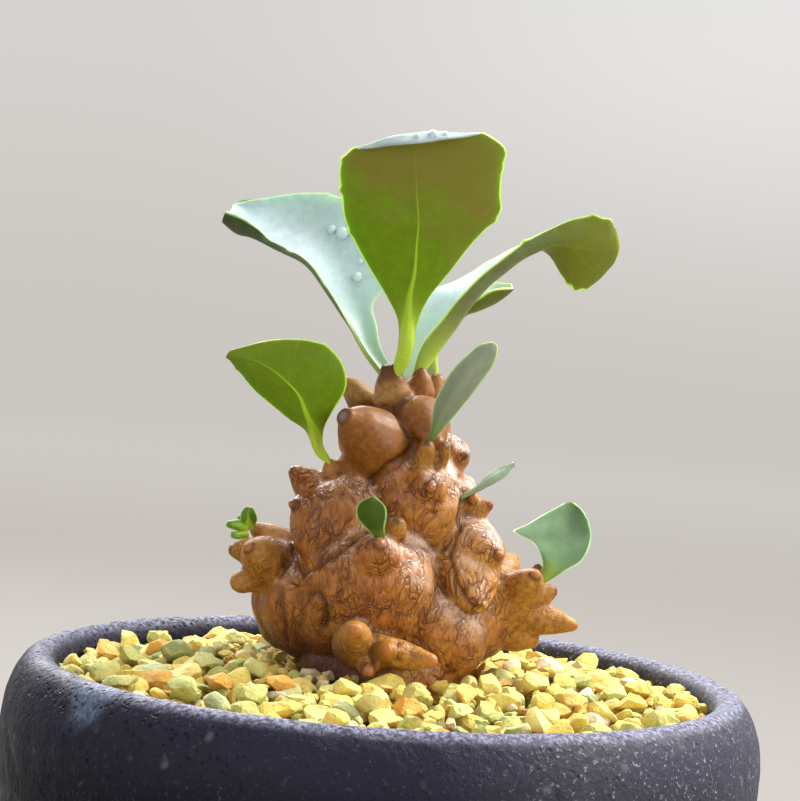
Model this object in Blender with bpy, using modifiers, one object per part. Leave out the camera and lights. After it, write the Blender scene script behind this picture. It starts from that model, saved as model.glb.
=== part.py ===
"""Potted othonna herrei: a knobbly caudex with its leaves, in gravel, in a round stoneware pot.

The origin is the centre of the foot that the pot stands on, +Z is up, and -Y is the front.
Lengths are written in millimetres and become metres through MM.
"""
import math
import random

import bmesh
import bpy
import numpy as np
from mathutils import Matrix, Vector
from mathutils.bvhtree import BVHTree

MM = 0.001
CLEARANCE = 0.3

# The pot
POT_RADIUS = 59.5
POT_HEIGHT = 68.8
POT_STEPS = 40
LIP_RADIUS = 51.3
LIP_HEIGHT = 66.0
CREST_RADIUS = 54.0
INNER_RADIUS = 53.5
FLOOR_HEIGHT = 9.0
FOOT_RADIUS = 40.0
FOOT_WIDTH = 5.0
FOOT_DEPTH = 4.0
DRAIN_RADIUS = 6.5

# The net over the drainage hole
NET_RADIUS = 14.0
NET_THICKNESS = 0.9
NET_HOLE = 3.4
NET_PITCH = 4.8

# Soil and gravel, with the plain hole that the caudex stands in
SOIL_TOP = 57.0
SOIL_HOLE_RADIUS = 14.0
SOIL_HOLE_FLOOR = 40.0
GRAVEL_HOLE_RADIUS = 14.4
GRAVEL_EDGE_HEIGHT = 65.2
GRAVEL_CENTRE_HEIGHT = 68.4
HOLE_X = 0.0
HOLE_Y = 3.5
PEBBLE_SEED = 11
# Pebbles by grade: how many, their spacing, least and greatest half length, and how far from the
# caudex their centres stay. The small ones lie only within PEBBLE_FRINGE of the hole.
LARGE_PEBBLES = (145, 5.6, 2.4, 3.3, 2.6)
SMALL_PEBBLES = (48, 3.5, 1.5, 2.1, 1.9)
PEBBLE_FRINGE = 7.0
MOST_TRIES = 12000

# The caudex
VOXEL = 0.65
CAUDEX_TRIANGLES = 4300
SMOOTH_ROUNDS = 4
WAIST_PLACE = 0.5
WAIST_WIDTH = 0.62

# The leaves
BLADE = 0.7
STALK = 1.5
SEAT_GAP = 0.35
SEAT_STEP = 0.15
SEAT_REACH = 14.0
LEAST_STALK = 1.0

# Each lobe swells from its body (place, radius) to its tip (place, radius).
# They run from the top of the stem down to the foot, first as seen from the front.
FRONT_LOBES = [
    # the crown: three knobs round the youngest leaves
    ((-1.8, 4, 110.5), 3.4, (-3, 3, 115.6), 1.2),
    ((2.4, 7, 112), 2.3, (2.2, 7, 115.6), 1.0),
    ((4.4, 12, 111), 2.4, (4.8, 12.5, 113.7), 1.6),
    ((-6.8, 10, 110), 2.6, (-9.4, 10.5, 112.8), 1.1),
    ((0, 8.5, 110), 4.2, (0, 8, 104), 6.5),
    # the smooth lobe with its grey scar, and the lobe beside it
    ((-3.6, -0.3, 103.8), 5.7, (-8.8, -5.8, 107.8), 1.4),
    ((2.8, 1.6, 107.6), 4.4, (5, -3.6, 105.2), 1.3),
    ((-3.2, 1.2, 103), 5.2, (-6, 1, 100), 4),
    ((3.6, -4.5, 102.4), 1.6, (3.8, -6, 104.4), 1.2),
    ((6, -3.5, 102.6), 1.4, (6.6, -4.4, 104.4), 1.0),
    # the middle of the stem
    ((2, 3.4, 97.4), 8.6, (3, 1, 95), 8.0),
    ((3.8, -2, 98), 4.6, (4.9, -7.4, 98.3), 1.0),
    ((7, 4, 102.6), 3.6, (9.6, 0.5, 103), 1.2),
    ((-10.4, 3, 90.5), 6.0, (-12, 1.4, 95), 3.6),
    ((-12.4, 1, 95.4), 3.2, (-16.4, -1, 98.6), 1.2),
    ((-12, -0.5, 92.6), 3.4, (-16.2, -3.4, 93.8), 0.9),
    ((-10.5, -1, 91.5), 6.3, (-11.6, -4.8, 86.6), 2.6),
    ((-7.5, -1, 93), 6.2, (-8.2, -5.8, 90.4), 3.2),
    ((-9.8, 1, 97), 2.2, (-11, 0.5, 100), 1.2),
    ((9.6, 1.5, 96), 2.6, (11.6, -1.6, 96.6), 1.0),
    ((11.4, 1, 94.4), 2.2, (14.2, -0.6, 95.6), 0.9),
    # the right shoulder with its nipple and its low point
    ((10, 2, 88.6), 6.3, (16.2, -6, 88.6), 1.0),
    ((10.8, 1, 87), 6.4, (13.6, -7.6, 81), 1.6),
    # the great front lobe with its nipple, and the flanks of the foot
    ((-3.5, 1.5, 79.4), 12.8, (-3, -3, 83), 10.4),
    ((-2.8, -8, 85.4), 5.0, (-2.2, -13.2, 89.2), 1.5),
    ((-11.4, 4.6, 78.2), 9.6, (-11.8, 5, 77), 8.9),
    ((6, 4, 78.6), 10.2, (11.8, 5, 77.6), 8.4),
    ((7.5, -0.6, 76), 7.6, (9, -1.2, 74.2), 6.8),
    ((-13, 3, 75.6), 6.2, (-8, 0, 75), 5.6),
    ((-0.4, -8, 90), 2.2, (0.2, -10.2, 92.4), 1.4),
    # the left arm
    ((-16, 5, 82.5), 4.8, (-19.8, 2.5, 83.6), 3.7),
    ((-20, 1.4, 84.2), 3.7, (-22.4, -2.4, 86.2), 1.4),
    ((-20.6, 3.6, 84.8), 2.8, (-25.2, 2, 85.4), 1.3),
    ((-19.6, 3.5, 82), 3.0, (-23.6, 2, 80.4), 1.9),
    ((-17.5, 6.5, 86), 3.0, (-22, 7, 88.2), 1.4),
    ((-17, 6, 78), 5.4, (-16, 6, 74.4), 5.0),
    # the right arm, with its dark bud and its spike
    ((15.5, 4.5, 80), 5.8, (19.8, 2.5, 80.6), 4.4),
    ((20.2, 1.6, 81.6), 3.8, (22, -2.4, 85), 1.5),
    ((21.6, 2.5, 81), 2.8, (25.2, 2, 82.4), 1.2),
    ((21.5, 2.5, 78.4), 3.2, (29, 0.4, 77.6), 0.9),
    ((18, 4.5, 76.8), 4.4, (22.6, 3, 74.4), 1.6),
    ((17, 9.5, 83.6), 3.2, (19.4, 12, 86), 1.1),
    ((21.6, 1.2, 83.2), 1.5, (22.8, 2, 86.1), 0.8),
    # the small knobs low on the front
    ((-5, -11, 73.6), 3.6, (-5, -18.6, 76.8), 1.2),
    ((-4.6, -11.5, 73), 3.0, (1.8, -13.6, 73.2), 2.3),
    ((0.4, -12, 73), 2.4, (0.4, -18, 74.2), 1.1),
    ((2.4, -12, 72.6), 2.4, (6.8, -16, 72.8), 1.1),
    ((-2.8, -11, 72), 2.3, (-2.6, -16.2, 70.8), 1.2),
]
# The same growth on the side away from the front.
BACK_LOBES = [
    ((3, 12, 104), 5.0, (5.5, 18.5, 108.5), 1.0),
    ((-5, 13, 102), 4.6, (-9.5, 18.5, 105), 1.0),
    ((-1, 12, 97), 7.0, (-2, 22, 99), 1.0),
    ((7.5, 12.5, 93.6), 5.2, (11.5, 19.5, 97.4), 1.0),
    ((-9, 13, 92), 6.0, (-14.5, 19.5, 96), 1.0),
    ((3, 16, 87), 7.4, (4.5, 27, 91), 1.1),
    ((11, 13.5, 83.4), 6.0, (15.5, 20.5, 87), 1.0),
    ((-13, 13, 82), 6.2, (-20, 18, 86), 1.0),
    ((-4, 15, 79), 9.4, (-6.5, 28.5, 82), 1.2),
    ((9, 15, 77.2), 7.8, (14, 24.5, 78), 1.1),
    ((-11, 14, 76.4), 6.8, (-16, 21.5, 77), 1.0),
    ((2, 18, 74.4), 5.0, (3, 24.5, 75), 1.0),
]
# The foot narrows from the width of the hole in the gravel to the root in the soil.
FOOT = [(12.4, 73), (13.5, 70), (13.8, 67), (13.6, 60), (12.6, 54), (11, 48), (7.5, 42)]

# A leaf is a list of stations from its stalk to its tip. Each station is the places of one
# margin, the midrib and the other margin, right to left as seen on the leaf's upper face.
# A leaf with a rolled margin has one more place there, at the bottom of the roll.
LEAVES = {
    "leaf_top_centre": [
        [(-1, 3, 116.5), (-0.1, 3, 116.5), (0.7, 3, 116.5)],
        [(-1.5, 2.5, 119.5), (-0.5, 1.5, 119.5), (0.5, 2.5, 119.5)],
        [(-2, 2, 123.5), (-0.5, 1, 123.5), (1, 2, 123.5)],
        [(-4, 1, 127), (-0.5, 0, 127.5), (2.6, 1, 127.5)],
        [(-6.8, 0, 131), (0, -1.5, 131.5), (5.7, 0, 132)],
        [(-9.5, -2, 135), (0, -3.5, 136), (8.7, -2, 136.5)],
        [(-11.5, -4, 139), (0, -5.5, 139.5), (12.6, -4, 141.5)],
        [(-12, -6, 142.2), (-0.5, -7, 143), (11.7, -6, 144)],
        [(-12.6, -8, 145.8), (-1, -9.5, 147), (12.2, -8, 148)],
        [(-12, -10, 148), (-1.5, -11.5, 150.5), (12.2, -10, 151.2)],
        [(-10.4, -11.5, 149.4), (-1.9, -13.5, 152), (8.7, -12, 153)],
        [(-9.9, -12, 149.2), (-1, -15.2, 150.7), (8.2, -12.4, 152.7)],
    ],
    "leaf_top_left": [
        [(-3.5, 6, 116.5), (-4.1, 6.5, 116.3), (-4.7, 6, 116.3), (-5.2, 5.5, 116.5)],
        [(-4.6, 7.5, 119), (-5.9, 8, 118.5), (-6.8, 7, 118.5), (-6.4, 6, 118.5)],
        [(-5.5, 9, 122.5), (-7.5, 9.5, 121.5), (-8.9, 8, 121.5), (-8.3, 7, 121.5)],
        [(-6.3, 11, 125.5), (-9.5, 12, 126), (-11.8, 9.5, 125.2), (-11.2, 8.5, 125.5)],
        [(-4, 12, 129.5), (-11.5, 14.5, 130.5), (-14.7, 11.5, 129), (-14, 10, 129)],
        [(-3, 13, 134.5), (-13.5, 17, 134.5), (-17.8, 13.5, 132), (-16.9, 11.5, 132.3)],
        [(-6, 16, 139.5), (-17, 19, 137), (-21, 15, 133.4), (-20.4, 13, 134)],
        [(-12.5, 19, 142.5), (-20.5, 21, 138.5), (-24, 16.5, 134.6), (-23.5, 14.5, 135.5)],
        [(-19, 21, 143), (-25, 22, 140), (-27.2, 17.5, 135.6), (-26.8, 15.5, 137.3)],
        [(-25.5, 22, 141.7), (-28, 22, 140), (-29.4, 18, 136), (-29, 16, 138.3)],
        [(-30, 21.5, 140.6), (-30.8, 21, 140), (-31.7, 18.5, 137.5), (-31.4, 17, 139)],
    ],
    "leaf_top_right": [
        [(2, 7, 116.2), (1.4, 8, 115.6), (0.2, 9, 116)],
        [(2, 5.5, 119.8), (3.4, 8, 118.5), (0.2, 11, 119.5)],
        [(5, 4.5, 124.5), (6.4, 8, 123), (1.2, 13, 124.5)],
        [(7.8, 3.5, 128.5), (9.2, 7.5, 127.5), (3, 15, 128.5)],
        [(11, 3, 132), (12.2, 7, 131), (7, 15.5, 130.5)],
        [(14.1, 3, 134.8), (15.5, 5.5, 134), (12.2, 12.5, 134.2)],
        [(17.9, 3.5, 137.9), (18.6, 4.5, 136), (17.6, 10.5, 137)],
        [(21.5, 4, 140), (22, 3.5, 137.5), (21.3, 8, 135.6)],
        [(24.6, 3.5, 141.5), (25.3, 2.5, 137), (23.8, 6, 132)],
        [(28.4, 3, 142), (29, 3, 137), (26.5, 5.5, 130.5)],
        [(30.6, 3.5, 141), (31, 4, 137.5), (29, 6, 132)],
        [(31.3, 4.5, 139), (31.5, 5, 137), (31, 6, 134.5)],
    ],
    "leaf_back_right": [
        [(2, 11, 116.2), (1.4, 12, 115.8), (0.6, 13, 116.2)],
        [(3.6, 11.5, 120.2), (4, 13, 119.4), (2.7, 14.5, 120)],
        [(6.2, 13, 124.4), (7, 14.5, 123.4), (5.6, 17, 124)],
        [(8.3, 14, 126.5), (9, 16, 125.5), (8.5, 19, 127.4)],
        [(10.5, 13.8, 127.8), (11, 16, 126.3), (11, 20, 129.3)],
        [(12.6, 14, 129.3), (13.3, 16.5, 127.5), (13, 20, 130.5)],
        [(14.3, 15, 129.8), (14.9, 16.5, 128.8), (14.6, 18.5, 130.6)],
        [(15.6, 16, 130), (16, 16.6, 130), (15.8, 17.2, 130.6)],
    ],
    "leaf_left": [
        [(-12.8, 1, 101.8), (-12.3, 1, 101.8), (-11.8, 1, 101.8)],
        [(-13.9, 0.5, 103.5), (-13.3, 0, 103.2), (-12.6, 0.5, 103.5)],
        [(-15.4, 0, 105.6), (-14, -1, 105.8), (-12.4, 0, 106)],
        [(-18, -1, 107), (-15.3, -2.5, 108.3), (-11.3, -1, 108.5)],
        [(-20.8, -1.5, 109), (-16.5, -3.5, 111), (-9.4, -2, 112.5)],
        [(-23.4, -2, 111), (-19, -4.5, 113.4), (-10.3, -3, 116.5)],
        [(-25.4, -3, 113), (-21.5, -5, 115), (-13.3, -3.5, 119)],
        [(-26.8, -3.5, 114.5), (-24.3, -5, 116), (-17.8, -4, 119.5)],
        [(-27.6, -4, 115.5), (-26.3, -4.5, 116.2), (-23, -4, 118.6)],
        [(-28.1, -4, 115.9), (-27.9, -4.2, 116.4), (-27.2, -4, 117)],
    ],
    "leaf_right": [
        [(5, -5, 106), (4.5, -5.5, 106), (4, -5, 106)],
        [(6.2, -5.5, 107.2), (5, -6.5, 107.5), (4.3, -5.5, 107.5)],
        [(7.5, -6, 109), (5.6, -7, 109.2), (4.3, -6, 109.2)],
        [(9, -6.5, 111.2), (6.6, -8, 111.3), (4.5, -6.5, 111.3)],
        [(10.6, -7.5, 113.6), (7.9, -9, 113.8), (5.5, -7.5, 113.8)],
        [(12.2, -8.5, 116.2), (9.5, -10, 116.4), (6.8, -8.5, 116.5)],
        [(13.2, -9.5, 118.2), (11.1, -10.5, 118.6), (8.8, -9.5, 119)],
        [(13.5, -10, 119.8), (12.3, -10.5, 120.4), (10.8, -10, 120.9)],
        [(13.5, -10, 120.9), (13, -10.2, 121.3), (12.4, -10, 121.5)],
    ],
    "leaf_sprout_right": [
        [(12.4, -2.8, 97.8), (11.9, -3.4, 98), (11.4, -2.6, 98.2)],
        [(13.7, -3.2, 98.6), (13, -4.2, 98.8), (12.3, -2.4, 99)],
        [(15, -4, 99.5), (14.1, -5, 99.9), (13.2, -2.2, 100)],
        [(16.5, -4.5, 100.6), (15.5, -5, 101.1), (14.6, -2.5, 101.3)],
        [(17.4, -4.5, 101.9), (16.9, -5, 102.1), (16.2, -4, 102.4)],
        [(18, -4.5, 102.6), (17.7, -4.9, 102.9), (17.3, -4.4, 103)],
    ],
    "leaf_low_right": [
        [(25.7, 0.7, 84.2), (24.9, 0.2, 84), (24.1, 0.7, 84.4)],
        [(27.1, 0.7, 86), (25, 0.5, 86.4), (23.4, 0.6, 86.9)],
        [(29.5, 1.5, 87.5), (25.4, 1.5, 88.3), (22.8, 0, 88.8)],
        [(30.6, 2.2, 89.4), (26, 3, 90.2), (21.4, -1, 90.5)],
        [(31, 3.5, 91.6), (26.5, 4, 92), (18.5, -4, 92)],
        [(30.3, 4.5, 94), (27, 5, 94), (20.8, -1, 93.3)],
        [(29, 5, 95.8), (27.5, 5.5, 95.8), (24.4, 3, 95.3)],
        [(28.2, 5.5, 96.3), (27.4, 5.5, 96.6), (26.4, 5, 96.3)],
    ],
    "leaf_round_front": [
        [(-1.9, -13.2, 91.4), (-2.4, -13.5, 91.1), (-2.9, -13.2, 91.2)],
        [(-1.7, -13.6, 92.5), (-2.9, -14, 92.3), (-4.9, -13.6, 92.1)],
        [(-1.5, -14, 94), (-3.8, -15, 93.7), (-6, -14, 93.5)],
        [(-1.8, -14.5, 95.5), (-4.1, -15.4, 95.3), (-6.1, -14.5, 95.2)],
        [(-2.7, -15, 96.4), (-4.1, -15.5, 96.4), (-5.3, -15, 96.3)],
        [(-3.4, -15, 96.9), (-3.9, -15.2, 96.9), (-4.4, -15, 96.8)],
    ],
}
# Rows along the blade and columns across it.
LEAF_DIVISIONS = {
    "leaf_top_centre": (18, 7),
    "leaf_top_left": (16, 8),
    "leaf_top_right": (18, 7),
    "leaf_back_right": (10, 5),
    "leaf_left": (13, 5),
    "leaf_right": (11, 5),
    "leaf_sprout_right": (8, 3),
    "leaf_low_right": (12, 5),
    "leaf_round_front": (8, 5),
}
# The small leaves of the shoot on the left arm, each with the same kind of stations.
SHOOT_LEAVES = [
    [
        [(-23.8, 5.2, 88.6), (-23.4, 4.8, 88.6), (-23, 5.2, 88.6)],
        [(-24.6, 5.2, 89.8), (-23.4, 4.5, 90), (-22.2, 5.2, 89.9)],
        [(-24.6, 4.8, 91), (-23.5, 4.1, 91.2), (-22.4, 4.8, 91)],
        [(-24, 4.6, 91.8), (-23.5, 4.3, 92), (-23, 4.6, 91.8)],
    ],
    [
        [(-23.6, 4.6, 88.2), (-23.6, 4.3, 88.6), (-23.6, 4.9, 89)],
        [(-24.8, 4.2, 88.3), (-24.8, 3.9, 89), (-24.8, 4.7, 89.9)],
        [(-25.9, 4, 88.6), (-25.9, 3.8, 89.1), (-25.8, 4.5, 89.8)],
        [(-26.8, 4, 89), (-26.8, 3.9, 89.2), (-26.7, 4.2, 89.5)],
    ],
    [
        [(-23.6, 4.2, 87.5), (-23.5, 4, 87.8), (-23.6, 4.4, 88.1)],
        [(-24.6, 3.6, 87.2), (-24.7, 3.3, 87.6), (-24.7, 3.9, 88)],
        [(-25.9, 3.4, 87.4), (-26, 3.3, 87.6), (-26, 3.6, 87.9)],
    ],
    [
        [(-24, 5.6, 88.2), (-23.7, 6, 88.6), (-23.4, 6.2, 88.9)],
        [(-25, 7.2, 88.6), (-24.4, 7.4, 89.2), (-23.6, 7.4, 89.6)],
        [(-25.4, 8.4, 89.6), (-24.9, 8.4, 90), (-24.2, 8.4, 90.1)],
    ],
]
SHOOT_BUD = ((-23.9, 4.9, 88), 1.1, (-23.9, 5, 89), 0.8)
SHOOT_DIVISIONS = (5, 4)
PALE_LEAVES = ("leaf_top_left", "leaf_low_right", "leaf_right")


def clear_scene():
    for item in list(bpy.data.objects):
        bpy.data.objects.remove(item, do_unlink=True)


def collection(name):
    group = bpy.data.collections.new(name)
    bpy.context.scene.collection.children.link(group)
    return group


def material(name, colour, roughness, metallic=0.0):
    finish = bpy.data.materials.new(name)
    finish.use_nodes = True
    shader = finish.node_tree.nodes["Principled BSDF"]
    shader.inputs["Base Color"].default_value = (*colour, 1.0)
    shader.inputs["Roughness"].default_value = roughness
    shader.inputs["Metallic"].default_value = metallic
    finish.diffuse_color = (*colour, 1.0)
    return finish


def mesh_object(name, bm, group, finish=None):
    mesh = bpy.data.meshes.new(name)
    bm.to_mesh(mesh)
    bm.free()
    item = bpy.data.objects.new(name, mesh)
    group.objects.link(item)
    if finish:
        mesh.materials.append(finish)
    return item


def bake_modifiers(item):
    """Replace an object's mesh by what its modifiers make of it."""
    graph = bpy.context.evaluated_depsgraph_get()
    baked = bpy.data.meshes.new_from_object(item.evaluated_get(graph))
    item.modifiers.clear()
    item.data = baked


def shade_round(item, angle=40.0):
    item.data.shade_smooth()
    item.data.set_sharp_from_angle(angle=math.radians(angle))


def arc(centre_x, centre_z, radius_x, radius_z, start, end, count):
    """Points on an ellipse's arc in the profile plane, with angles in degrees."""
    points = []
    for index in range(count):
        angle = math.radians(start + (end - start) * index / (count - 1))
        x = centre_x + radius_x * math.cos(angle)
        z = centre_z + radius_z * math.sin(angle)
        points.append((x, z))
    return points


def turned(name, profile, group, finish, steps=POT_STEPS, closed=True, centre=(0.0, 0.0)):
    """Turn a profile of (radius, height) points, run down its outer side, round the Z axis."""
    bm = bmesh.new()
    verts = [bm.verts.new((x * MM, 0, z * MM)) for x, z in profile]
    for first, second in zip(verts, verts[1:]):
        bm.edges.new((first, second))
    if closed:
        bm.edges.new((verts[-1], verts[0]))
    item = mesh_object(name, bm, group, finish)
    item.location = (centre[0] * MM, centre[1] * MM, 0)
    screw = item.modifiers.new("Turn", "SCREW")
    screw.axis = "Z"
    screw.angle = 2 * math.pi
    screw.steps = steps
    screw.render_steps = steps
    screw.use_merge_vertices = True
    screw.merge_threshold = 0.00001
    bpy.context.view_layer.update()
    bake_modifiers(item)
    shade_round(item)
    return item


def make_pot(group, finish):
    shoulder_height = 57.0
    belly_height = 30.0
    belly_radius = 57.5
    heel_radius = 14.0
    outer = arc(CREST_RADIUS, shoulder_height, POT_RADIUS - CREST_RADIUS,
                POT_HEIGHT - shoulder_height, 90, 0, 6)
    outer += [(POT_RADIUS - 0.6, 44), (belly_radius, belly_height)]
    outer += arc(FOOT_RADIUS + 2, FOOT_DEPTH + heel_radius, belly_radius - FOOT_RADIUS - 3.5,
                 heel_radius, -10, -80, 4)
    foot = [(FOOT_RADIUS + 0.8, FOOT_DEPTH - 1), (FOOT_RADIUS, 0), (FOOT_RADIUS - FOOT_WIDTH, 0),
            (FOOT_RADIUS - FOOT_WIDTH - 0.8, FOOT_DEPTH), (DRAIN_RADIUS, FOOT_DEPTH)]
    inner = [(DRAIN_RADIUS, FLOOR_HEIGHT), (34, FLOOR_HEIGHT)]
    inner += arc(34, FLOOR_HEIGHT + 17, 16.5, 17, -60, -10, 4)
    inner += [(52.5, 36), (INNER_RADIUS, 50), (INNER_RADIUS - 0.2, 60)]
    lip = arc(CREST_RADIUS, LIP_HEIGHT, CREST_RADIUS - LIP_RADIUS, POT_HEIGHT - LIP_HEIGHT,
              200, 110, 4)
    return turned("pot", outer + foot + inner + lip, group, finish)


def make_drain_net(group, cutters, finish):
    bm = bmesh.new()
    bmesh.ops.create_cone(bm, cap_ends=True, segments=28, radius1=NET_RADIUS * MM,
                          radius2=NET_RADIUS * MM, depth=NET_THICKNESS * MM)
    net = mesh_object("drain_net", bm, group, finish)
    height = FLOOR_HEIGHT + CLEARANCE + NET_THICKNESS / 2
    net.location = (0, 0, height * MM)
    holes = bmesh.new()
    reach = NET_RADIUS - NET_HOLE
    span = int(reach // NET_PITCH)
    for column in range(-span, span + 1):
        for row in range(-span, span + 1):
            x, y = column * NET_PITCH, row * NET_PITCH
            if math.hypot(x, y) > reach - NET_HOLE * 0.4:
                continue
            size = Matrix.Diagonal((NET_HOLE * MM, NET_HOLE * MM, 4 * MM, 1))
            place = Matrix.Translation((x * MM, y * MM, height * MM))
            bmesh.ops.create_cube(holes, size=1.0, matrix=place @ size)
    cutter = mesh_object("net_holes", holes, cutters)
    cut(net, cutter)
    return net


def cut(item, cutter):
    boolean = item.modifiers.new("Cut", "BOOLEAN")
    boolean.operation = "DIFFERENCE"
    boolean.object = cutter
    bpy.context.view_layer.update()
    bake_modifiers(item)
    bpy.data.objects.remove(cutter, do_unlink=True)


def make_soil(group, finish):
    gap = CLEARANCE + 0.3
    net_top = FLOOR_HEIGHT + NET_THICKNESS + 2 * CLEARANCE
    bed = FLOOR_HEIGHT + CLEARANCE
    profile = [(INNER_RADIUS - gap - 1.2, SOIL_TOP - 0.3),
               (INNER_RADIUS - gap - 1, 50), (51, 36)]
    profile += [(x - gap - 0.4, z + 0.3) for x, z in
                reversed(arc(34, FLOOR_HEIGHT + 17, 16.5, 17, -60, -10, 4))]
    profile += [(33, bed), (NET_RADIUS + gap, bed), (NET_RADIUS + gap, net_top), (0, net_top)]
    soil = turned("soil", [(0, SOIL_TOP - 0.3)] + profile, group, finish, steps=24, closed=False)
    return soil


def make_hole(name, profile, cutters):
    """A plain turned hole round the caudex's axis."""
    return turned(name, profile, cutters, None, steps=24, closed=False, centre=(HOLE_X, HOLE_Y))


def gravel_height(x, y):
    """The gravel lies a little higher in the middle than at the pot's wall."""
    share = min(1.0, math.hypot(x, y) / LIP_RADIUS)
    return GRAVEL_EDGE_HEIGHT + (GRAVEL_CENTRE_HEIGHT - GRAVEL_EDGE_HEIGHT) * (1 - share ** 2)


def scatter(grade, reach, taken, tree, rng):
    """Places for one grade of pebbles, clear of the wall, of the caudex and of those taken."""
    count, spacing, _, _, clearance = grade
    places = []
    tries = 0
    while len(places) < count and tries < MOST_TRIES:
        tries += 1
        radius = (LIP_RADIUS - 3.2) * math.sqrt(rng.random())
        angle = rng.uniform(0, 2 * math.pi)
        x, y = radius * math.cos(angle), radius * math.sin(angle)
        from_hole = math.hypot(x - HOLE_X, y - HOLE_Y) - GRAVEL_HOLE_RADIUS
        if from_hole < spacing / 9 or from_hole > reach:
            continue
        if any(math.hypot(x - px, y - py) < spacing for px, py, _ in taken + places):
            continue
        z = gravel_height(x, y)
        if tree.find_nearest(Vector((x, y, z)) * MM)[3] < clearance * MM:
            continue
        places.append((x, y, z))
    return places


def pebble(place, grade, rng):
    """One angular stone: a dented icosahedron, turned at random and set into the bed."""
    _, _, smallest, largest, _ = grade
    long_side = rng.uniform(smallest, largest)
    short_side = long_side * rng.uniform(0.7, 0.95)
    height = long_side * rng.uniform(0.6, 0.8)
    roll = Matrix.Rotation(rng.uniform(0, math.pi), 4, "X")
    roll = roll @ Matrix.Rotation(rng.uniform(0, math.pi), 4, "Y")
    turn = Matrix.Rotation(rng.uniform(0, 2 * math.pi), 4, "Z")
    size = Matrix.Diagonal((long_side * MM, short_side * MM, height * MM, 1))
    x, y, z = place
    move = Matrix.Translation((x * MM, y * MM, (z - rng.uniform(0.1, 0.5)) * MM))
    bm = bmesh.new()
    bmesh.ops.create_icosphere(bm, subdivisions=1, radius=1.0)
    for vert in bm.verts:
        vert.co = move @ turn @ size @ roll @ (vert.co * rng.uniform(0.88, 1.08))
    return bm


def make_gravel(group, cutters, finish, caudex):
    """A bed with a plain hole for the caudex, and pebbles fused half sunk into its top."""
    outer_gap = CLEARANCE + 0.3
    rings = 3
    wall = LIP_RADIUS - outer_gap
    top = []
    for ring in range(rings + 1):
        radius = wall * ring / rings
        top.append((radius, gravel_height(radius, 0)))
    bottom = SOIL_TOP
    profile = top + [(wall, 62), (INNER_RADIUS - outer_gap - 0.6, 60.5),
                     (INNER_RADIUS - outer_gap - 0.6, bottom), (0, bottom)]
    bed = turned("gravel", profile, group, finish, steps=32, closed=False)
    tree = BVHTree.FromObject(caudex, bpy.context.evaluated_depsgraph_get())
    rng = random.Random(PEBBLE_SEED)
    large = scatter(LARGE_PEBBLES, LIP_RADIUS, [], tree, rng)
    small = scatter(SMALL_PEBBLES, PEBBLE_FRINGE, large, tree, rng)
    graded = [(place, LARGE_PEBBLES) for place in large]
    graded += [(place, SMALL_PEBBLES) for place in small]
    stones = bpy.data.collections.new("stones")
    bpy.context.scene.collection.children.link(stones)
    for number, (place, grade) in enumerate(graded):
        mesh_object(f"stone_{number}", pebble(place, grade, rng), stones)
    union = bed.modifiers.new("Stones", "BOOLEAN")
    union.operation = "UNION"
    union.operand_type = "COLLECTION"
    union.collection = stones
    union.solver = "EXACT"
    bpy.context.view_layer.update()
    bake_modifiers(bed)
    for stone in list(stones.objects):
        bpy.data.objects.remove(stone, do_unlink=True)
    bpy.data.collections.remove(stones)
    hole = [(0, 80), (GRAVEL_HOLE_RADIUS, 80), (GRAVEL_HOLE_RADIUS, 50), (0, 50)]
    cut(bed, make_hole("gravel_hole", hole, cutters))
    bed.data.shade_flat()
    return bed


def round_cone(bm, start, start_radius, end, end_radius):
    """The hull of two balls."""
    ring = bmesh.new()
    for place, radius in ((start, start_radius), (end, end_radius)):
        bmesh.ops.create_icosphere(ring, subdivisions=2, radius=radius * MM,
                                   matrix=Matrix.Translation(Vector(place) * MM))
    bmesh.ops.delete(ring, geom=ring.edges[:] + ring.faces[:], context="EDGES_FACES")
    bmesh.ops.convex_hull(ring, input=ring.verts[:])
    loose = [vert for vert in ring.verts if not vert.link_faces]
    bmesh.ops.delete(ring, geom=loose, context="VERTS")
    scratch = bpy.data.meshes.new("lobe")
    ring.to_mesh(scratch)
    ring.free()
    bm.from_mesh(scratch)
    bpy.data.meshes.remove(scratch)


def lobe(bm, start, start_radius, end, end_radius):
    """A swollen body that keeps its width and then narrows quickly to a blunt tip."""
    start, end = Vector(start), Vector(end)
    waist = start.lerp(end, WAIST_PLACE)
    waist_radius = end_radius + (start_radius - end_radius) * WAIST_WIDTH
    round_cone(bm, start, start_radius, waist, waist_radius)
    round_cone(bm, waist, waist_radius, end, end_radius)


def make_caudex(group, finish):
    """All lobes and the foot, grown into one body."""
    bm = bmesh.new()
    for start, start_radius, end, end_radius in FRONT_LOBES + BACK_LOBES:
        lobe(bm, start, start_radius, end, end_radius)
    foot = turned("foot", [(0, FOOT[0][1])] + FOOT + [(0, FOOT[-1][1])], group, None,
                  steps=48, closed=False)
    foot.data.transform(Matrix.Translation((HOLE_X * MM, HOLE_Y * MM, 0)))
    bm.from_mesh(foot.data)
    bpy.data.objects.remove(foot, do_unlink=True)
    caudex = mesh_object("caudex", bm, group, finish)
    remesh = caudex.modifiers.new("Grow together", "REMESH")
    remesh.mode = "VOXEL"
    remesh.voxel_size = VOXEL * MM
    smooth = caudex.modifiers.new("Soften", "SMOOTH")
    smooth.factor = 0.5
    smooth.iterations = SMOOTH_ROUNDS
    bpy.context.view_layer.update()
    bake_modifiers(caudex)
    caudex.data.materials.append(finish)
    triangles = sum(len(face.vertices) - 2 for face in caudex.data.polygons)
    decimate = caudex.modifiers.new("Fewer faces", "DECIMATE")
    decimate.ratio = CAUDEX_TRIANGLES / triangles
    decimate.use_collapse_triangulate = True
    bpy.context.view_layer.update()
    bake_modifiers(caudex)
    shade_round(caudex, 60)
    return caudex


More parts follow.
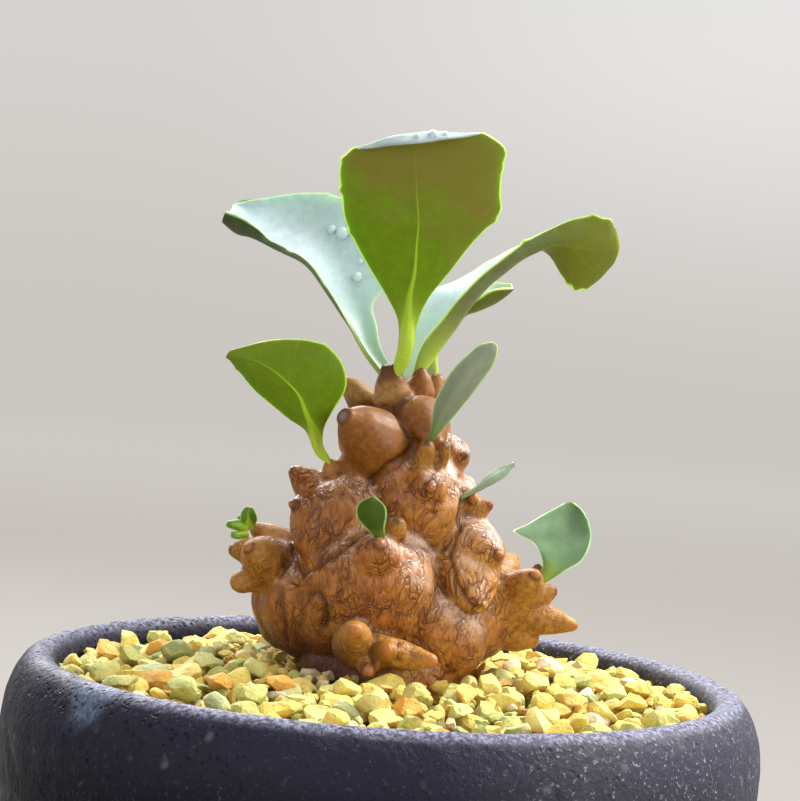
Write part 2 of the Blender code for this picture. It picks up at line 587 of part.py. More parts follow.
def spline(knots, values, at):
    """A smooth curve through the values at their knots, read at other places."""
    slopes = np.gradient(values, knots, axis=0)
    index = np.clip(np.searchsorted(knots, at, side="right") - 1, 0, len(knots) - 2)
    spread = (len(at),) + (1,) * (values.ndim - 1)
    step = (knots[index + 1] - knots[index]).reshape(spread)
    t = (at - knots[index]).reshape(spread) / step
    start, end = values[index], values[index + 1]
    leave, arrive = slopes[index] * step, slopes[index + 1] * step
    return ((2 * t ** 3 - 3 * t ** 2 + 1) * start + (t ** 3 - 2 * t ** 2 + t) * leave
            + (3 * t ** 2 - 2 * t ** 3) * end + (t ** 3 - t ** 2) * arrive)


def blade_grid(stations, rows, columns):
    """Points of the blade's upper face, row by row from the stalk to the tip."""
    stations = np.array(stations, dtype=float)
    middle = stations.mean(axis=1)
    steps = np.linalg.norm(np.diff(middle, axis=0), axis=1)
    along = np.concatenate([[0.0], np.cumsum(steps)]) / steps.sum()
    lengthwise = spline(along, stations, np.linspace(0, 1, rows))
    across = np.linspace(0, 1, stations.shape[1])
    crosswise = spline(across, lengthwise.transpose(1, 0, 2), np.linspace(0, 1, columns))
    return crosswise.transpose(1, 0, 2)


def blade_thickness(rows, columns):
    """Thin at the margins, thick along the stalk and the midrib near it."""
    along = np.linspace(0, 1, rows)[:, None]
    across = np.linspace(-1, 1, columns)[None, :]
    fade = np.clip(1 - along / 0.55, 0, 1) ** 1.5
    rib = np.exp(-(across / (0.25 + 0.75 * fade)) ** 2)
    return BLADE + (STALK - BLADE) * fade * rib


def blade_object(name, stations, divisions, group, finish):
    """A sheet through the stations, thickened below, with both faces split alike."""
    rows, columns = divisions
    grid = blade_grid(stations, rows, columns)
    weight = blade_thickness(rows, columns) / STALK
    bm = bmesh.new()
    verts = [[bm.verts.new(Vector(point) * MM) for point in row] for row in grid]
    for row in range(rows - 1):
        for column in range(columns - 1):
            a, b = verts[row][column], verts[row][column + 1]
            c, d = verts[row + 1][column + 1], verts[row + 1][column]
            if column < (columns - 1) / 2:
                bm.faces.new((a, c, b))
                bm.faces.new((a, d, c))
            else:
                bm.faces.new((a, d, b))
                bm.faces.new((b, d, c))
    blade = mesh_object(name, bm, group, finish)
    thick = blade.vertex_groups.new(name="thick")
    for number, value in enumerate(weight.ravel()):
        thick.add([number], float(value), "REPLACE")
    solid = blade.modifiers.new("Thicken", "SOLIDIFY")
    solid.thickness = STALK * MM
    solid.offset = -1
    solid.vertex_group = "thick"
    solid.use_rim = True
    bpy.context.view_layer.update()
    bake_modifiers(blade)
    shade_round(blade, 50)
    return blade


def nearest_gap(item, tree):
    """The least distance in millimetres from an object's corners to the caudex."""
    return min(tree.find_nearest(vert.co)[3] for vert in item.data.vertices) / MM


def inside(point, tree):
    place, normal, _, _ = tree.find_nearest(point)
    return (point - place).dot(normal) < 0


def is_clear(item, tree):
    """Whether an object lies outside the caudex, at least the seat's gap from it."""
    if any(inside(vert.co, tree) for vert in item.data.vertices):
        return False
    return nearest_gap(item, tree) >= SEAT_GAP


def seated_blade(name, stations, divisions, group, finish, tree):
    """Run the stalk down to the caudex, then back it off until the leaf is just clear."""
    first, second = stations[0][len(stations[0]) // 2], stations[1][len(stations[1]) // 2]
    down = (Vector(first) - Vector(second)).normalized()
    place, _, _, reach = tree.ray_cast(Vector(second) * MM, down, SEAT_REACH * MM)
    length = (Vector(first) - Vector(second)).length
    if place is not None:
        length = reach / MM - SEAT_GAP
    while True:
        shift = Vector(second) + down * length - Vector(first)
        moved = [[tuple(Vector(point) + shift) for point in stations[0]]] + stations[1:]
        blade = blade_object(name, moved, divisions, group, finish)
        if is_clear(blade, tree) or length < LEAST_STALK:
            return blade
        bpy.data.objects.remove(blade, do_unlink=True)
        length -= SEAT_STEP


def make_leaves(group, finishes, caudex):
    tree = BVHTree.FromObject(caudex, bpy.context.evaluated_depsgraph_get())
    for name, stations in LEAVES.items():
        divisions = LEAF_DIVISIONS[name]
        finish = finishes["pale"] if name in PALE_LEAVES else finishes["green"]
        seated_blade(name, stations, divisions, group, finish, tree)


def make_shoot(group, finish, caudex):
    """The bud and the small leaves of the left arm's shoot, joined in one body."""
    bm = bmesh.new()
    round_cone(bm, *SHOOT_BUD)
    shoot = mesh_object("shoot_left", bm, group, finish)
    shoot.modifiers.new("Fewer faces", "DECIMATE").ratio = 0.12
    bpy.context.view_layer.update()
    bake_modifiers(shoot)
    leaves = bpy.data.collections.new("shoot_leaves")
    bpy.context.scene.collection.children.link(leaves)
    for number, stations in enumerate(SHOOT_LEAVES):
        blade_object(f"shoot_leaf_{number}", stations, SHOOT_DIVISIONS, leaves, None)
    union = shoot.modifiers.new("Leaves", "BOOLEAN")
    union.operation = "UNION"
    union.operand_type = "COLLECTION"
    union.collection = leaves
    union.solver = "EXACT"
    bpy.context.view_layer.update()
    bake_modifiers(shoot)
    for leaf in list(leaves.objects):
        bpy.data.objects.remove(leaf, do_unlink=True)
    bpy.data.collections.remove(leaves)
    tree = BVHTree.FromObject(caudex, bpy.context.evaluated_depsgraph_get())
    while not is_clear(shoot, tree):
        shoot.data.transform(Matrix.Translation((0, 0, SEAT_STEP * MM)))
    return shoot


def main():
    clear_scene()
    parts = collection("potted_othonna_herrei")
    cutters = collection("cutters")
    stoneware = material("stoneware", (0.035, 0.035, 0.06), 0.55)
    plastic = material("net_plastic", (0.02, 0.02, 0.02), 0.5)
    earth = material("potting_soil", (0.05, 0.035, 0.02), 0.95)
    stones = material("pebbles", (0.72, 0.66, 0.28), 0.8)
    bark = material("bark", (0.38, 0.17, 0.06), 0.5)
    finishes = {
        "green": material("leaf_green", (0.16, 0.30, 0.03), 0.5),
        "pale": material("leaf_pale", (0.50, 0.68, 0.60), 0.55),
    }
    make_pot(parts, stoneware)
    make_drain_net(parts, cutters, plastic)
    soil = make_soil(parts, earth)
    hole = [(0, 80), (GRAVEL_HOLE_RADIUS, 80), (GRAVEL_HOLE_RADIUS - 1, 56.4),
            (SOIL_HOLE_RADIUS, 54), (SOIL_HOLE_RADIUS - 2, 46), (8.6, SOIL_HOLE_FLOOR),
            (0, SOIL_HOLE_FLOOR)]
    cut(soil, make_hole("soil_hole", hole, cutters))
    caudex = make_caudex(parts, bark)
    make_gravel(parts, cutters, stones, caudex)
    make_leaves(parts, finishes, caudex)
    make_shoot(parts, finishes["green"], caudex)


main()
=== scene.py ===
"""The look of the potted othonna herrei: its caudex, leaves, pebbles, stoneware pot and light.

Lengths are in millimetres and become metres through MM. +Z is up and -Y is the front.
"""

import math
import random

import bmesh
import bpy
import numpy as np
from mathutils import Matrix, Vector, kdtree, noise
from mathutils.bvhtree import BVHTree


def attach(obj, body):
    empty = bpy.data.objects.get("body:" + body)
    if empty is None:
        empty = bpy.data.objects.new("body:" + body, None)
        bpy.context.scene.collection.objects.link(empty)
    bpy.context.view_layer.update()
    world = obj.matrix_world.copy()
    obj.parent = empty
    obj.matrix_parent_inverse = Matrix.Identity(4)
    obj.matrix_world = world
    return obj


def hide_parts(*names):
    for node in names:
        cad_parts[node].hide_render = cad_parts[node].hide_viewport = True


MM = 0.001

# The camera: its place and target, its focal length in pixels of the photograph, and its roll
PHOTO_HEIGHT = 801
FOCAL_PIXELS = 2520.0
CAMERA_DISTANCE = 400.0
CAMERA_ELEVATION = 9.1
CAMERA_ROLL = 4.2
LIP_LEVEL = 66.5
TARGET = (-0.8, 0.0, 111.0)
SENSOR = 36.0
LAMP_TARGET = Vector((0, 0, 90))

# The pot
POT_RADIUS = 59.5
POT_HEIGHT = 68.8
LIP_RADIUS = 51.3
LIP_HEIGHT = 66.0
CREST_RADIUS = 54.0
INNER_RADIUS = 53.5
FLOOR_HEIGHT = 9.0
FOOT_RADIUS = 40.0
FOOT_WIDTH = 5.0
FOOT_DEPTH = 4.0
DRAIN_RADIUS = 6.5
POT_STEPS = 360

# The gravel
GRAVEL_EDGE_HEIGHT = 65.2
GRAVEL_CENTRE_HEIGHT = 68.4
GRAVEL_SEED = 23
GRAVEL_BOTTOM = 58.0
BED_HOLE = 14.4
BED_DROP = 2.6
BURIED_DEPTH = 1.2
PEBBLE_TRIES = 9000
# How near a pebble's middle may come to the wall and to the caudex, in half lengths
WALL_GAP = 0.75
CAUDEX_GAP = 0.62
# How many flat cuts a pebble gets, and how far from its middle they lie, in half lengths
CUTS = (10, 16)
CUT_PLACES = (0.48, 0.8)
# Pebbles from this size up, and in front of this line, get the finer shape
FINE_SIZE = 1.5
FINE_FRONT = -8.0

# The caudex
VOXEL = 0.38
SMOOTH_ROUNDS = 5
WAIST_PLACE = 0.5
WAIST_WIDTH = 0.62
CREASE_DEPTH = 0.5
LIP_RISE = 0.08
WOBBLE_HEIGHT = 0.25
LUMP_HEIGHT = 0.1
HOLLOW_ROUNDS = 6
LOBE_BULGE = 0.8
SKIN_BLEND = 0.45

# Each lobe swells from its body (place, radius) to its tip (place, radius), and then names its
# skin and its tip. They run from the top of the stem down to the foot.
FRONT_LOBES = [
    # the crown: three knobs round the youngest leaves
    ((-1.8, 4, 110.5), 3.4, (-3, 3, 115.6), 1.2, "top", "cut"),
    ((2.4, 7, 112), 2.3, (2.2, 7, 115.6), 1.0, "top", "dark"),
    ((4.4, 12, 111), 2.4, (4.8, 12.5, 113.7), 1.6, "top", "dark"),
    ((-6.8, 10, 110), 2.6, (-9.4, 10.5, 112.8), 1.1, "top", "dark"),
    ((0, 8.5, 110), 4.2, (0, 8, 104), 6.5, "top", ""),
    # the smooth lobe with its grey scar, and the lobe beside it
    ((-3.6, -0.3, 103.8), 5.7, (-8.8, -5.8, 107.8), 1.4, "top", "scar"),
    ((2.8, 1.6, 107.6), 4.4, (5, -3.6, 105.2), 1.3, "top", ""),
    ((-3.2, 1.2, 103), 5.2, (-6, 1, 100), 4, "top", ""),
    ((3.6, -4.5, 102.4), 1.6, (3.8, -6, 104.4), 1.2, "young", "dark"),
    ((6, -3.5, 102.6), 1.4, (6.6, -4.4, 104.4), 1.0, "young", "dark"),
    # the middle of the stem
    ((2, 3.4, 97.4), 8.6, (3, 1, 95), 8.0, "old", ""),
    ((3.8, -2, 98), 4.6, (4.9, -7.4, 98.3), 1.0, "old", "nipple"),
    ((7, 4, 102.6), 3.6, (9.6, 0.5, 103), 1.2, "old", "dark"),
    ((-10.4, 3, 90.5), 6.0, (-12, 1.4, 95), 3.6, "old", ""),
    ((-12.4, 1, 95.4), 3.2, (-16.4, -1, 98.6), 1.2, "old", "red"),
    ((-12, -0.5, 92.6), 3.4, (-16.2, -3.4, 93.8), 0.9, "old", "nipple"),
    ((-10.5, -1, 91.5), 6.3, (-11.6, -4.8, 86.6), 2.6, "old", ""),
    ((-7.5, -1, 93), 6.2, (-8.2, -5.8, 90.4), 3.2, "old", ""),
    ((-9.8, 1, 97), 2.2, (-11, 0.5, 100), 1.2, "young", "dark"),
    ((9.6, 1.5, 96), 2.6, (11.6, -1.6, 96.6), 1.0, "young", "nipple"),
    ((11.4, 1, 94.4), 2.2, (14.2, -0.6, 95.6), 0.9, "young", "red"),
    # the right shoulder with its nipple and its low point
    ((10, 2, 88.6), 6.3, (16.2, -6, 88.6), 1.0, "old", "nipple"),
    ((10.8, 1, 87), 6.4, (13.6, -7.6, 81), 1.6, "old", ""),
    # the great front lobe with its nipple, and the flanks of the foot
    ((-3.5, 1.5, 79.4), 12.8, (-3, -3, 83), 10.4, "old", ""),
    ((-2.8, -8, 85.4), 5.0, (-2.2, -13.2, 89.2), 1.5, "old", "nipple"),
    ((-11.4, 4.6, 78.2), 9.6, (-11.8, 5, 77), 8.9, "old", ""),
    ((6, 4, 78.6), 10.2, (11.8, 5, 77.6), 8.4, "old", ""),
    ((7.5, -0.6, 76), 7.6, (9, -1.2, 74.2), 6.8, "old", ""),
    ((-13, 3, 75.6), 6.2, (-8, 0, 75), 5.6, "old", ""),
    ((-0.4, -8, 90), 2.2, (0.2, -10.2, 92.4), 1.4, "young", "dark"),
    # the left arm
    ((-16, 5, 82.5), 4.8, (-19.8, 2.5, 83.6), 3.7, "old", ""),
    ((-20, 1.4, 84.2), 3.7, (-22.4, -2.4, 86.2), 1.4, "young", "nipple"),
    ((-20.6, 3.6, 84.8), 2.8, (-25.2, 2, 85.4), 1.3, "young", "red"),
    ((-19.6, 3.5, 82), 3.0, (-23.6, 2, 80.4), 1.9, "young", ""),
    ((-17.5, 6.5, 86), 3.0, (-22, 7, 88.2), 1.4, "young", "dark"),
    ((-17, 6, 78), 5.4, (-16, 6, 74.4), 5.0, "old", ""),
    # the right arm, with its dark bud and its spike
    ((15.5, 4.5, 80), 5.8, (19.8, 2.5, 80.6), 4.4, "young", ""),
    ((20.2, 1.6, 81.6), 3.8, (22, -2.4, 85), 1.5, "young", "nipple"),
    ((21.6, 2.5, 81), 2.8, (25.2, 2, 82.4), 1.2, "young", "red"),
    ((21.5, 2.5, 78.4), 3.2, (29, 0.4, 77.6), 0.9, "young", "orange"),
    ((18, 4.5, 76.8), 4.4, (22.6, 3, 74.4), 1.6, "young", ""),
    ((17, 9.5, 83.6), 3.2, (19.4, 12, 86), 1.1, "young", "red"),
    ((21.6, 1.2, 83.2), 1.5, (22.8, 2, 86.1), 0.8, "young", "bud"),
    # the small knobs low on the front
    ((-5, -11, 73.6), 3.6, (-5, -18.6, 76.8), 1.2, "young", "orange"),
    ((-4.6, -11.5, 73), 3.0, (1.8, -13.6, 73.2), 2.3, "young", ""),
    ((0.4, -12, 73), 2.4, (0.4, -18, 74.2), 1.1, "young", "orange"),
    ((2.4, -12, 72.6), 2.4, (6.8, -16, 72.8), 1.1, "young", "orange"),
    ((-2.8, -11, 72), 2.3, (-2.6, -16.2, 70.8), 1.2, "young", "nipple"),
]
# The same growth on the side away from the front.
BACK_LOBES = [
    ((3, 12, 104), 5.0, (5.5, 18.5, 108.5), 1.0, "top", "dark"),
    ((-5, 13, 102), 4.6, (-9.5, 18.5, 105), 1.0, "top", "scar"),
    ((-1, 12, 97), 7.0, (-2, 22, 99), 1.0, "old", "nipple"),
    ((7.5, 12.5, 93.6), 5.2, (11.5, 19.5, 97.4), 1.0, "old", "red"),
    ((-9, 13, 92), 6.0, (-14.5, 19.5, 96), 1.0, "old", "nipple"),
    ((3, 16, 87), 7.4, (4.5, 27, 91), 1.1, "old", "dark"),
    ((11, 13.5, 83.4), 6.0, (15.5, 20.5, 87), 1.0, "old", "nipple"),
    ((-13, 13, 82), 6.2, (-20, 18, 86), 1.0, "old", "nipple"),
    ((-4, 15, 79), 9.4, (-6.5, 28.5, 82), 1.2, "old", "nipple"),
    ((9, 15, 77.2), 7.8, (14, 24.5, 78), 1.1, "young", "orange"),
    ((-11, 14, 76.4), 6.8, (-16, 21.5, 77), 1.0, "young", "nipple"),
    ((2, 18, 74.4), 5.0, (3, 24.5, 75), 1.0, "young", "orange"),
]
LOBES = FRONT_LOBES + BACK_LOBES
# Creases where lobes meet and press on each other, and long folds down the left of the foot.
CREASES = [
    [(-13.8, -4.9, 82.7), (-10.9, -8.5, 85.1), (-7.5, -10.3, 88), (-4.5, -8.8, 90.7)],
    [(-13.8, -4.7, 82.9), (-15.2, -0.9, 84.4), (-15.8, 1.9, 86.5)],
    [(-7, 5, 97.8), (-6.9, 1.5, 95.2), (-6, 0.1, 93.2), (-5.4, -3, 91.6)],
    [(1.1, -9.9, 90), (4.8, -5.8, 88.4), (7.9, -4, 88.8), (9.9, -3.7, 91.7), (10, -2.2, 96.3),
     (9.3, -0.3, 99.5)],
    [(-7.6, 5, 97.6), (-5.9, 0.2, 98.4), (-2.2, -4.9, 101.1), (1.2, -3, 103.7), (2.3, -3.2, 105)],
    [(9.9, -3.7, 91.7), (8.7, -5, 87.7), (10, -7, 84.3), (12, -8.2, 81.1), (13.4, -8.7, 80.4),
     (15.1, -7.4, 82.5), (17.1, -0.1, 84.4)],
    [(-1.8, 0.5, 109.6), (0.1, -2.9, 107.1), (1.8, -2.9, 105)],
    [(-5.6, 6, 110.2), (-2.1, 0.1, 109.2), (0.9, 1.9, 111.6)],
    [(4.8, -4.9, 105.3), (6.2, -4.7, 102.5), (5.7, -5.3, 100.9)],
    [(-16.4, -0.1, 84.7), (-17.3, -1.2, 82.3)],
    [(-17.1, -2.2, 80.1), (-16.6, -2.8, 76.7), (-15.3, -1.2, 72.2)],
    [(-12.6, -7.2, 80.2), (-11.6, -8.8, 81), (-10.6, -9.6, 80.6), (-9.9, -10, 79.2),
     (-9.7, -9.8, 77.4), (-10.1, -9, 75.6)],
    [(-2.5, -12.4, 76.3), (-1.9, -14.8, 75), (-2.4, -15.3, 73.4), (-1.8, -15.7, 71.9)],
    [(1.6, -14.8, 75.1), (1.3, -16.6, 74), (2, -15.6, 72.2)],
]
CREASE_STEP = 0.35
ROOT_DEPTH = 0.7
STALK_REACH = 7.0
# The foot stands in the gravel's hole and narrows to the root in the soil.
FOOT = [(12.4, 73), (13.5, 70), (13.8, 67), (13.6, 60), (12.6, 54), (11, 48), (7.5, 42)]
FOOT_CENTRE = (0.0, 3.5)

# A leaf is a list of stations from its stalk to its tip. Each station is the places of one
# margin, the midrib and the other margin, right to left as seen on the leaf's upper face.
# A leaf with a rolled margin has one more place there, at the bottom of the roll.
LEAVES = {
    "leaf_top_centre": [
        [(-1, 3, 116.5), (-0.1, 3, 116.5), (0.7, 3, 116.5)],
        [(-1.5, 2.5, 119.5), (-0.5, 1.5, 119.5), (0.5, 2.5, 119.5)],
        [(-2, 2, 123.5), (-0.5, 1, 123.5), (1, 2, 123.5)],
        [(-4, 1, 127), (-0.5, 0, 127.5), (2.6, 1, 127.5)],
        [(-6.8, 0, 131), (0, -1.5, 131.5), (5.7, 0, 132)],
        [(-9.5, -2, 135), (0, -3.5, 136), (8.7, -2, 136.5)],
        [(-11.5, -4, 139), (0, -5.5, 139.5), (12.5, -4, 141.5)],
        [(-12, -6, 142.2), (-0.5, -7, 143), (12.3, -6, 144.3)],
        [(-12.6, -8, 145.8), (-1, -9.5, 147), (12.2, -8, 148)],
        [(-12, -10, 148), (-1.5, -11.5, 150.5), (12.2, -10, 151.2)],
        [(-10.4, -11.5, 149.4), (-1.9, -13.5, 152), (8.7, -12, 153)],
        [(-9.9, -12, 149.2), (-1, -15.2, 150.7), (8.2, -12.4, 152.7)],
    ],
    "leaf_top_left": [
        [(-3.5, 6, 116.5), (-4.1, 6.5, 116.3), (-4.7, 6, 116.3), (-5.2, 5.5, 116.5)],
        [(-4.6, 7.5, 119), (-5.9, 8, 118.5), (-6.8, 7, 118.5), (-6.8, 6.6, 118.4)],
        [(-5.5, 9, 122.5), (-7.5, 9.5, 121.5), (-8.9, 8, 121.5), (-8.9, 7.5, 121.5)],
        [(-6.3, 11, 125.5), (-9.5, 12, 126), (-11.8, 9.5, 125.2), (-11.7, 9, 125.3)],
        [(-4, 12, 129.5), (-11.5, 14.5, 130.5), (-14.7, 11.5, 129), (-14.6, 10.9, 129)],
        [(-3, 13, 134.5), (-13.5, 17, 134.5), (-17.8, 13.5, 132), (-17.6, 12.8, 132.1)],
        [(-6, 16, 139.5), (-17, 19, 137), (-21, 15, 133.4), (-20.8, 14.4, 133.6)],
        [(-12.5, 19, 142.5), (-20.5, 21, 138.5), (-24, 16.5, 134.6), (-23.8, 15.8, 134.9)],
        [(-19, 21, 143), (-25, 22, 140), (-27.2, 17.5, 135.6), (-26.8, 15.5, 137.3)],
        [(-25.5, 22, 141.7), (-28, 22, 140), (-29.4, 18, 136), (-29, 16, 138.3)],
        [(-30, 21.5, 140.6), (-30.8, 21, 140), (-31.7, 18.5, 137.5), (-31.4, 17, 139)],
    ],
    "leaf_top_right": [
        [(2, 7, 116.2), (1.4, 8, 115.6), (0.2, 9, 116)],
        [(2, 5.5, 119.8), (3.4, 8, 118.5), (0.2, 11, 119.5)],
        [(5, 4.5, 124.5), (6.4, 8, 123), (1.2, 13, 124.5)],
        [(7.8, 3.5, 128.5), (9.2, 7.5, 127.5), (3, 15, 128.5)],
        [(11, 3, 132), (12.2, 7, 131), (7, 15.5, 130.5)],
        [(14.1, 3, 134.8), (15.5, 5.5, 134), (12.2, 12.5, 134.2)],
        [(17.9, 3.5, 137.9), (18.6, 4.5, 136), (17.6, 10.5, 137)],
        [(21.5, 4, 140), (22, 3.5, 137.5), (21.3, 8, 135.6)],
        [(24.6, 3.5, 141.5), (25.3, 2.5, 137), (23.8, 6, 132)],
        [(28.4, 3, 142), (29, 3, 137), (26.5, 5.5, 130.5)],
        [(30.6, 3.5, 141), (31, 4, 137.5), (29, 6, 132)],
        [(31.3, 4.5, 139), (31.5, 5, 137), (31, 6, 134.5)],
    ],
    "leaf_back_right": [
        [(2, 11, 116.2), (1.4, 12, 115.8), (0.6, 13, 116.2)],
        [(3.6, 11.5, 120.2), (4, 13, 119.4), (2.7, 14.5, 120)],
        [(6.2, 13, 124.4), (7, 14.5, 123.4), (5.6, 17, 124)],
        [(8.3, 14, 126.5), (9, 16, 125.5), (8.5, 19, 127.4)],
        [(10.5, 13.8, 127.8), (11, 16, 126.3), (11, 20, 129.3)],
        [(12.6, 14, 129.3), (13.3, 16.5, 127.5), (13, 20, 130.5)],
        [(14.3, 15, 129.8), (14.9, 16.5, 128.8), (14.6, 18.5, 130.6)],
        [(15.6, 16, 130), (16, 16.6, 130), (15.8, 17.2, 130.6)],
    ],
    "leaf_left": [
        [(-12.8, 1, 101.8), (-12.3, 1, 101.8), (-11.8, 1, 101.8)],
        [(-13.9, 0.5, 103.5), (-13.3, 0, 103.2), (-12.6, 0.5, 103.5)],
        [(-15.4, 0, 105.6), (-14, -1, 105.8), (-12.4, 0, 106)],
        [(-18, -1, 107), (-15.3, -2.5, 108.3), (-11.3, -1, 108.5)],
        [(-20.8, -1.5, 109), (-16.5, -3.5, 111), (-9.4, -2, 112.5)],
        [(-23.4, -2, 111), (-19, -4.5, 113.4), (-10.3, -3, 116.5)],
        [(-25.4, -3, 113), (-21.5, -5, 115), (-13.3, -3.5, 119)],
        [(-26.8, -3.5, 114.5), (-24.3, -5, 116), (-17.8, -4, 119.5)],
        [(-27.6, -4, 115.5), (-26.3, -4.5, 116.2), (-23, -4, 118.6)],
        [(-28.1, -4, 115.9), (-27.9, -4.2, 116.4), (-27.2, -4, 117)],
    ],
    "leaf_right": [
        [(5, -5, 106), (4.5, -5.5, 106), (4, -5, 106)],
        [(6.2, -5.5, 107.2), (5, -6.5, 107.5), (4.3, -5.5, 107.5)],
        [(7.5, -6, 109), (5.6, -7, 109.2), (4.3, -6, 109.2)],
        [(9, -6.5, 111.2), (6.6, -8, 111.3), (4.5, -6.5, 111.3)],
        [(10.6, -7.5, 113.6), (7.9, -9, 113.8), (5.5, -7.5, 113.8)],
        [(12.2, -8.5, 116.2), (9.5, -10, 116.4), (6.8, -8.5, 116.5)],
        [(13.2, -9.5, 118.2), (11.1, -10.5, 118.6), (8.8, -9.5, 119)],
        [(13.5, -10, 119.8), (12.3, -10.5, 120.4), (10.8, -10, 120.9)],
        [(13.5, -10, 120.9), (13, -10.2, 121.3), (12.4, -10, 121.5)],
    ],
    "leaf_sprout_right": [
        [(12.4, -2.8, 97.8), (11.9, -3.4, 98), (11.4, -2.6, 98.2)],
        [(13.7, -3.2, 98.6), (13, -4.2, 98.8), (12.3, -2.4, 99)],
        [(15, -4, 99.5), (14.1, -5, 99.9), (13.2, -2.2, 100)],
        [(16.5, -4.5, 100.6), (15.5, -5, 101.1), (14.6, -2.5, 101.3)],
        [(17.4, -4.5, 101.9), (16.9, -5, 102.1), (16.2, -4, 102.4)],
        [(18, -4.5, 102.6), (17.7, -4.9, 102.9), (17.3, -4.4, 103)],
    ],
    "leaf_low_right": [
        [(25.7, 0.7, 84.2), (24.9, 0.2, 84), (24.1, 0.7, 84.4)],
        [(27.1, 0.7, 86), (25, 0.5, 86.4), (23.4, 0.6, 86.9)],
        [(29.5, 1.5, 87.5), (25.4, 1.5, 88.3), (22.8, 0, 88.8)],
        [(30.6, 2.2, 89.4), (26, 3, 90.2), (21.4, -1, 90.5)],
        [(31, 3.5, 91.6), (26.5, 4, 92), (18.5, -4, 92)],
        [(30.3, 4.5, 94), (27, 5, 94), (20.8, -1, 93.3)],
        [(29, 5, 95.8), (27.5, 5.5, 95.8), (24.4, 3, 95.3)],
        [(28.2, 5.5, 96.3), (27.4, 5.5, 96.6), (26.4, 5, 96.3)],
    ],
    "leaf_round_front": [
        [(-1.9, -13.2, 91.4), (-2.4, -13.5, 91.1), (-2.9, -13.2, 91.2)],
        [(-1.7, -13.6, 92.5), (-2.9, -14, 92.3), (-4.9, -13.6, 92.1)],
        [(-1.5, -14, 94), (-3.8, -15, 93.7), (-6, -14, 93.5)],
        [(-1.8, -14.5, 95.5), (-4.1, -15.4, 95.3), (-6.1, -14.5, 95.2)],
        [(-2.7, -15, 96.4), (-4.1, -15.5, 96.4), (-5.3, -15, 96.3)],
        [(-3.4, -15, 96.9), (-3.9, -15.2, 96.9), (-4.4, -15, 96.8)],
    ],
}
SHOOT_LEAVES = [
    [
        [(-23.8, 5.2, 88.6), (-23.4, 4.8, 88.6), (-23, 5.2, 88.6)],
        [(-24.6, 5.2, 89.8), (-23.4, 4.5, 90), (-22.2, 5.2, 89.9)],
        [(-24.6, 4.8, 91), (-23.5, 4.1, 91.2), (-22.4, 4.8, 91)],
        [(-24, 4.6, 91.8), (-23.5, 4.3, 92), (-23, 4.6, 91.8)],
    ],
    [
        [(-23.6, 4.6, 88.2), (-23.6, 4.3, 88.6), (-23.6, 4.9, 89)],
        [(-24.8, 4.2, 88.3), (-24.8, 3.9, 89), (-24.8, 4.7, 89.9)],
        [(-25.9, 4, 88.6), (-25.9, 3.8, 89.1), (-25.8, 4.5, 89.8)],
        [(-26.8, 4, 89), (-26.8, 3.9, 89.2), (-26.7, 4.2, 89.5)],
    ],
    [
        [(-23.6, 4.2, 87.5), (-23.5, 4, 87.8), (-23.6, 4.4, 88.1)],
        [(-24.6, 3.6, 87.2), (-24.7, 3.3, 87.6), (-24.7, 3.9, 88)],
        [(-25.9, 3.4, 87.4), (-26, 3.3, 87.6), (-26, 3.6, 87.9)],
    ],
    [
        [(-24, 5.6, 88.2), (-23.7, 6, 88.6), (-23.4, 6.2, 88.9)],
        [(-25, 7.2, 88.6), (-24.4, 7.4, 89.2), (-23.6, 7.4, 89.6)],
        [(-25.4, 8.4, 89.6), (-24.9, 8.4, 90), (-24.2, 8.4, 90.1)],
    ],
]


